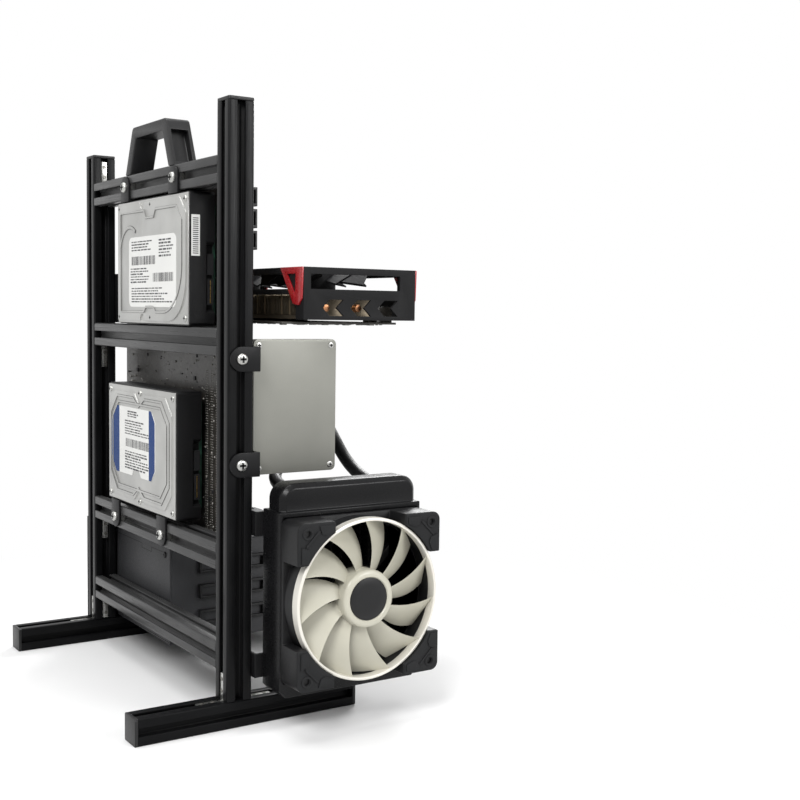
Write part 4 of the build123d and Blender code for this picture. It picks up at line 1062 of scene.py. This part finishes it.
def socket_solder(back):
    """Two rows of solder points under each slot."""
    places = []
    for node in ("card_slots", "memory_slots"):
        for low, high in islands(node):
            along = 0 if high.x - low.x > high.z - low.z else 2
            other = 2 - along
            middle = (low[other] + high[other]) / 2
            place = low[along] + SOLDER_INSET
            while place < high[along] - SOLDER_INSET:
                for side in SOLDER_SIDES:
                    point = [0.0, back, 0.0]
                    point[along] = place
                    point[other] = middle + side
                    places.append((tuple(point), "+y", (0.45, 0.45, 0.5)))
                place += SOLDER_PITCH
    return places


def board_back():
    """Solder points in rows under the slots and scattered elsewhere, and small chips."""
    low, high = node_box("mainboard")
    back = high.y
    chance = random.Random(41)
    places = socket_solder(back)
    for part in range(620):
        x, z = random_spot(chance, low, high, 5)
        radius = chance.choice((0.4, 0.5, 0.6, 0.9))
        places.append(((x, back, z), "+y", (radius, radius, radius * 1.1)))
    repeat("solder_points", BEAD, places, "tin", "circuit_black")
    chips = []
    for part in range(150):
        x, z = random_spot(chance, low, high, 6)
        size = chance.choice(((2.4, 1.3, 0.7), (1.3, 2.4, 0.7), (3.4, 3.4, 0.9), (1.6, 0.9, 0.6)))
        chips.append(((x, back, z), "+y", size))
    repeat("board_back_parts", SLAB, chips, "chip", "circuit_black")


def board_front():
    """Capacitors, coils and chips between the sockets."""
    low, high = node_box("mainboard")
    taken = [box for node in BOARD_FITTINGS for box in islands(node)]
    taken.append(node_box("pump_bracket"))
    taken.append(PUMP_AREA)
    chance = random.Random(53)

    def free(x, z, reach):
        """Takes a place if nothing else is near it."""
        edge = reach + 2
        if not (low.x + edge < x < high.x - edge and low.z + edge < z < high.z - edge):
            return False
        for box_low, box_high in taken:
            if box_low.x - reach < x < box_high.x + reach and box_low.z - reach < z < box_high.z + reach:
                return False
        taken.append((Vector((x - reach, 0, z - reach)), Vector((x + reach, 0, z + reach))))
        return True

    def set_down(places, x, z, size):
        """Adds a part that stands on the board."""
        places.append(((x, low.y, z), "-y", size))

    cans = []
    for spots, reach, size in ((CAN_COLUMN, 4.4, (3.2, 3.2, 6.5)), (CAN_ROWS, 4.0, (3.0, 3.0, 6.0))):
        for x, z in spots:
            if free(x, z, reach):
                set_down(cans, x, z, size)
    for part in range(160):
        x, z = random_spot(chance, low, high)
        if len(cans) < 24 and free(x, z, 4.6):
            set_down(cans, x, z, (3.1, 3.1, 6.2))
    repeat("board_capacitors", CAN, cans, "gold", "bright_steel")
    chips = []
    for x, z in COIL_COLUMN:
        if free(x, z, 4.8):
            set_down(chips, x, z, (9.0, 9.0, 5.5))
    for part in range(120):
        x, z = random_spot(chance, low, high)
        reach = chance.choice((3.4, 4.6, 6.4))
        if len(chips) < 26 and free(x, z, reach + 1.0):
            set_down(chips, x, z, (reach * 1.7, reach * 1.7, 1.3))
    repeat("board_chips", SLAB, chips, "chip", "circuit_black")
    small = []
    for part in range(900):
        x, z = random_spot(chance, low, high)
        if free(x, z, 1.5):
            set_down(small, x, z, chance.choice(((2.2, 1.1, 0.6), (1.1, 2.2, 0.6), (1.4, 0.8, 0.5))))
    repeat("board_small_parts", SLAB, small, "tin", "circuit_black")


# Ports on the mainboard's edge: coloured mouths, with dark fills in their openings as painted shade
PORT_KINDS = ("port_blue", "port_green", "port_pink", "port_purple", "port_dark", "gold")
BLUE, GREEN, PINK, PURPLE, DARK, GOLD = range(len(PORT_KINDS))
PORT_OUT = (1, 0, 0)
JACKS = ((BLUE, -25.6), (GREEN, -37.6), (PINK, -49.6))
JACK_Z = 257.7
JACK_PROFILE = ((5.0, 1.1), (5.0, 1.5), (4.6, 1.7), (2.4, 1.7), (2.1, 1.4), (2.0, -1.5))
# A dark disc down in each jack, painted shade for its hole
JACK_FLOOR = ((2.0, 0.2), (0, 0.2))
SLOT_TOWERS = ((152.2, DARK), (178.2, DARK), (205.2, BLUE))
SLOT_MOUTHS = ((-26.6, -21.6), (-34.1, -29.1))
ROUND_PLUGS = ((GREEN, -27.6), (PURPLE, -42.6))
PLUG_Z = 127.7
PLUG_PROFILE = ((6.4, 0.6), (6.4, 1.2), (5.8, 1.5), (5.0, 1.5), (4.8, 1.0), (0, 0.9))
PIN_PROFILE = ((0.7, 0.9), (0.7, 1.25), (0, 1.3))
PIN_RING = 2.8


def ports():
    """Three jacks, three towers with two flat mouths each, two round plugs and a wide mouth with contacts;
    the dark jack floors, mouths and pin holes are painted shade.
    """
    bm = bmesh.new()
    edge = max(node_box("port_towers")[1].x, node_box("audio_jacks")[1].x - 1.2)
    for kind, y in JACKS:
        add_turned(bm, (edge, y, JACK_Z), PORT_OUT, JACK_PROFILE, kind, 28)
        add_turned(bm, (edge, y, JACK_Z), PORT_OUT, JACK_FLOOR, DARK, 28)
    for z, tongue in SLOT_TOWERS:
        for near, far in SLOT_MOUTHS:
            # The dark block is painted shade for the open mouth; the tongue on it has the port's own colour
            add_block(bm, (edge - 0.4, near, z - 6), (edge + 0.12, far, z + 6), DARK)
            add_block(bm, (edge - 0.3, near + 0.8, z - 5), (edge + 0.3, near + 2.6, z + 5), tongue)
    for kind, y in ROUND_PLUGS:
        add_turned(bm, (edge, y, PLUG_Z), PORT_OUT, PLUG_PROFILE, kind, 32)
        for pin in range(6):
            side, rise = around(PIN_RING, 30 + pin * 60)
            # Dark pin holes as painted shade
            add_turned(bm, (edge, y + side, PLUG_Z + rise), PORT_OUT, PIN_PROFILE, DARK, 8)
    # The wide mouth is dark as painted shade; its contacts are gilt
    add_block(bm, (edge - 0.4, -46.5, 225.5), (edge + 0.15, -33.5, 237.5), DARK)
    add_block(bm, (edge - 0.2, -44.5, 226.5), (edge + 0.3, -35.5, 228.0), GOLD)
    finish_piece("port_mouths", bm, "socket_black", PORT_KINDS)


# Pump: light ring and cap edge
PUMP_X = 8.0
PUMP_Z = 193.0
LIGHT_RING = ((25.6, -0.1), (25.6, 0.35), (25.2, 0.5), (23.8, 0.5), (23.4, 0.35), (23.4, -0.1))
CAP_RIM = ((31.4, -0.4), (31.6, 0.1), (31.0, 0.5), (28.4, 0.5), (28.0, 0.1), (28.0, -0.2))


def pump_cap():
    """An open ring of light and a closed rim on the pump's front."""
    front = (PUMP_X, node_box("pump_body")[0].y, PUMP_Z)
    bm = bmesh.new()
    add_turned(bm, front, (0, -1, 0), LIGHT_RING, 0, 72, 32.0, 296.0)
    add_turned(bm, front, (0, -1, 0), CAP_RIM, 1, 72)
    finish_piece("pump_cap", bm, "pump_black", ["white_light", "pump_black"])


# Graphics card: thin fins in the open sides, heat pipes and the gilded board edge
CARD_FINS = 92
FIN_HALF = 0.25
PIPE_OVERHANG = 6
PIPE_RADIUS = 3.0
CARD_Z = 296.6
CARD_HALF_THICK = 0.82
CONTACT_PITCH = 1.05
CONTACT_SIZE = (0.7, 4.4, 0.06)


def card_cooler():
    """Fins across the card and three pipes along it."""
    low, high = node_box("card_heatsink")
    bm = bmesh.new()
    for fin in range(CARD_FINS):
        x = low.x + (high.x - low.x) * fin / (CARD_FINS - 1)
        near = (x - FIN_HALF, low.y - 0.4, low.z + 3.4)
        add_block(bm, near, (x + FIN_HALF, high.y + 0.6, high.z - 0.4))
    finish_piece("card_fins", bm, "heatsink_silver", ["card_fin"])
    pipes = bmesh.new()
    long = high.x - low.x + 2 * PIPE_OVERHANG
    profile = [(0, 0), (2.6, 0.4), (PIPE_RADIUS, 1.2)]
    profile += [(PIPE_RADIUS, long - 1.2), (2.6, long - 0.4), (0, long)]
    for y in (high.y - 8, high.y - 20, low.y + 16):
        add_turned(pipes, (low.x - PIPE_OVERHANG, y, low.z + 8.5), (1, 0, 0), profile, 0, 20)
    finish_piece("card_heat_pipes", pipes, "heatsink_silver", ["copper"])


def card_board_parts():
    """Contacts on both faces of the edge in the slot, and small parts under the board."""
    low, high = node_box("card_board")
    start = node_box("card_slots")[0].x + 4
    contacts = []
    for step in range(76):
        for way, facing in ((-1, "-z"), (1, "+z")):
            place = (start + step * CONTACT_PITCH, high.y - 2.6, CARD_Z + way * CARD_HALF_THICK)
            contacts.append((place, facing, CONTACT_SIZE))
    repeat("card_contacts", DASH, contacts, "gold", "circuit_black")
    chance = random.Random(67)
    parts = []
    for part in range(220):
        size = chance.choice(((2.4, 1.3, 0.7), (1.3, 2.4, 0.7), (4.0, 4.0, 0.9)))
        x = chance.uniform(low.x + 6, high.x - 6)
        y = chance.uniform(low.y + 4, high.y - 12)
        parts.append(((x, y, low.z), "-z", size))
    repeat("card_back_parts", SLAB, parts, "tin", "circuit_black")


# Power supply: cover screws, the lap seam and the honeycomb
SEAM_HALF = 0.25
SEAM_DROP = 9
NOTCH_DROP = 13
NOTCH_ENDS = (40, 62)
CELL = 6.6
CELL_REACH = CELL / math.sqrt(3)
CELL_RISE = 0.3
MOUTH_CLEARANCE = (14.5, 12.5)


def supply_screws():
    """Four screws in the top and two in the back."""
    top = node_box("psu_cover")[1].z
    low, high = node_box("psu_case")
    places = []
    for x in (low.x + 7, high.x - 7):
        for y in (low.y + 7, high.y - 7):
            places.append(((x, y, max(top, high.z) - 0.1), "+z", (2.9, 2.9, 1.4)))
    for z in (low.z + 9, high.z - 9):
        places.append(((low.x + 10, high.y, z), "+y", (2.7, 2.7, 1.3)))
    screws("supply_screws", places, "fan_black", "psu_charcoal")


def supply_seams():
    """The lap of the cover along the back, with a small notch, as fine dark lines."""
    low, high = node_box("psu_case")
    top = max(high.z, node_box("psu_cover")[1].z)
    inner, outer = high.y - 0.1, high.y + 0.06
    left, right = (low.x + end for end in NOTCH_ENDS)
    bm = bmesh.new()
    lines = ((low.x + 4, left, SEAM_DROP), (left, right, NOTCH_DROP), (right, high.x - 4, SEAM_DROP))
    for start, end, drop in lines:
        z = top - drop
        add_block(bm, (start, inner, z - SEAM_HALF), (end, outer, z + SEAM_HALF))
    for x in (left, right):
        add_block(bm, (x - SEAM_HALF, inner, top - NOTCH_DROP), (x + SEAM_HALF, outer, top - SEAM_DROP))
    finish_piece("supply_seams", bm, "psu_charcoal", ["port_dark"])


def grille_cells(low, high):
    """The middles of the honeycomb's cells on the outer side, every second row moved by half a cell."""
    z = low.z + 7
    row = 0
    while z < high.z - 6:
        y = low.y + 7 + (CELL / 2 if row % 2 else 0)
        while y < high.y - 5:
            yield y, z
            y += CELL
        z += CELL_REACH * 1.5
        row += 1


def supply_grille():
    """A fine honeycomb on the outer side, left open round the mains inlet; each cell's dark floor is painted
    shade for its hole.
    """
    low, high = node_box("psu_case")
    inlet_low, inlet_high = node_box("psu_inlet")
    inlet_y = (inlet_low.y + inlet_high.y) / 2
    inlet_z = (inlet_low.z + inlet_high.z) / 2
    bm = bmesh.new()
    sheet = high.x + 0.06
    edges = ((1, sheet + CELL_RISE), (0.8, sheet + CELL_RISE), (0.78, sheet))
    for y, z in grille_cells(low, high):
        if abs(y - inlet_y) < MOUTH_CLEARANCE[0] and abs(z - inlet_z) < MOUTH_CLEARANCE[1]:
            continue
        rings = []
        for share, x in edges:
            corners = [around(CELL_REACH * share, 30 + 60 * step) for step in range(6)]
            rings.append([bm.verts.new(at((x, y + side, z + rise))) for side, rise in corners])
        skin(bm, rings, True)
        # The cell's dark floor is painted shade seen through the hole
        bm.faces.new(rings[-1]).material_index = 1
    finish_piece("supply_grille", bm, "psu_charcoal", ["psu_charcoal", "port_dark"])


# Hoses: the line of each is set out from its elbow on the pump and from its port on the radiator
HOSE_RADIUS = 5
ELBOW_X = 52.0
ELBOW_Y = -68.6
PORT_X = -145.5
PORT_Z = 170.0
upper_from_elbow = ((0, 0, 0), (0, -40, 0), (-29, -68, 3), (-70, -69, 8))
upper_from_port = ((88, 2, 46), (40, 0, 0), (0, 0, 0))
lower_from_elbow = ((0, 0, 0), (0, -40, 0), (-29, -68, -2), (-76, -68, -4))
lower_from_port = ((76, -26, 14), (40, 0, 0), (0, 0, 0))


def hose_route(from_elbow, elbow_z, from_port, port_y):
    """The corners of a hose, the first ones set out from its elbow and the last ones from its port."""
    start = [(ELBOW_X + x, ELBOW_Y + y, elbow_z + z) for x, y, z in from_elbow]
    end = [(PORT_X + x, port_y + y, PORT_Z + z) for x, y, z in from_port]
    return [(FRAME_MIDDLE[0] + x, FRAME_MIDDLE[1] + y, z) for x, y, z in start + end]


def hose(name, node, points):
    """A rubber hose whose smooth line has the same corners as its solid."""
    curve = bpy.data.curves.new(name, "CURVE")
    curve.dimensions = "3D"
    curve.bevel_depth = HOSE_RADIUS * MM
    curve.bevel_resolution = 6
    curve.resolution_u = 12
    curve.use_fill_caps = True
    spline = curve.splines.new("NURBS")
    spline.points.add(len(points) - 1)
    for point, place in zip(spline.points, points):
        point.co = (*(part * MM for part in place), 1)
    spline.order_u = 3
    spline.use_endpoint_u = True
    piece = add_object(name, curve)
    curve.materials.append(finishes["hose_rubber"])
    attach(piece, BENCH)
    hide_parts(node)
    start = tuple(part * MM for part in points[0])


# Every piece is built in turn; the unit shapes are only models for the repeats, so they go at the end
FRAME_PIECES = (bar_screws, connector_faces)
COOLER_PIECES = (cooler_fan, pad_ridges, radiator_core)
DRIVE_PIECES = (drive_cover_screws, drive_labels, drive_prints, pressed_beads, drive_ends, small_drive)
BOARD_PIECES = (board_back, board_front, ports, pump_cap)
CARD_PIECES = (card_cooler, card_board_parts)
SUPPLY_PIECES = (supply_screws, supply_seams, supply_grille)
for build in FRAME_PIECES + COOLER_PIECES + DRIVE_PIECES + BOARD_PIECES + CARD_PIECES + SUPPLY_PIECES:
    build()
for shape in SHAPES:
    bpy.data.objects.remove(shape)
hose("upper_hose_skin", "upper_hose", hose_route(upper_from_elbow, 211.0, upper_from_port, -124.0))
hose("lower_hose_skin", "lower_hose", hose_route(lower_from_elbow, 175.0, lower_from_port, -48.0))

scene.view_settings.view_transform = "Standard"
place_camera()
light_room()
lay_floor()
hang_lamps()
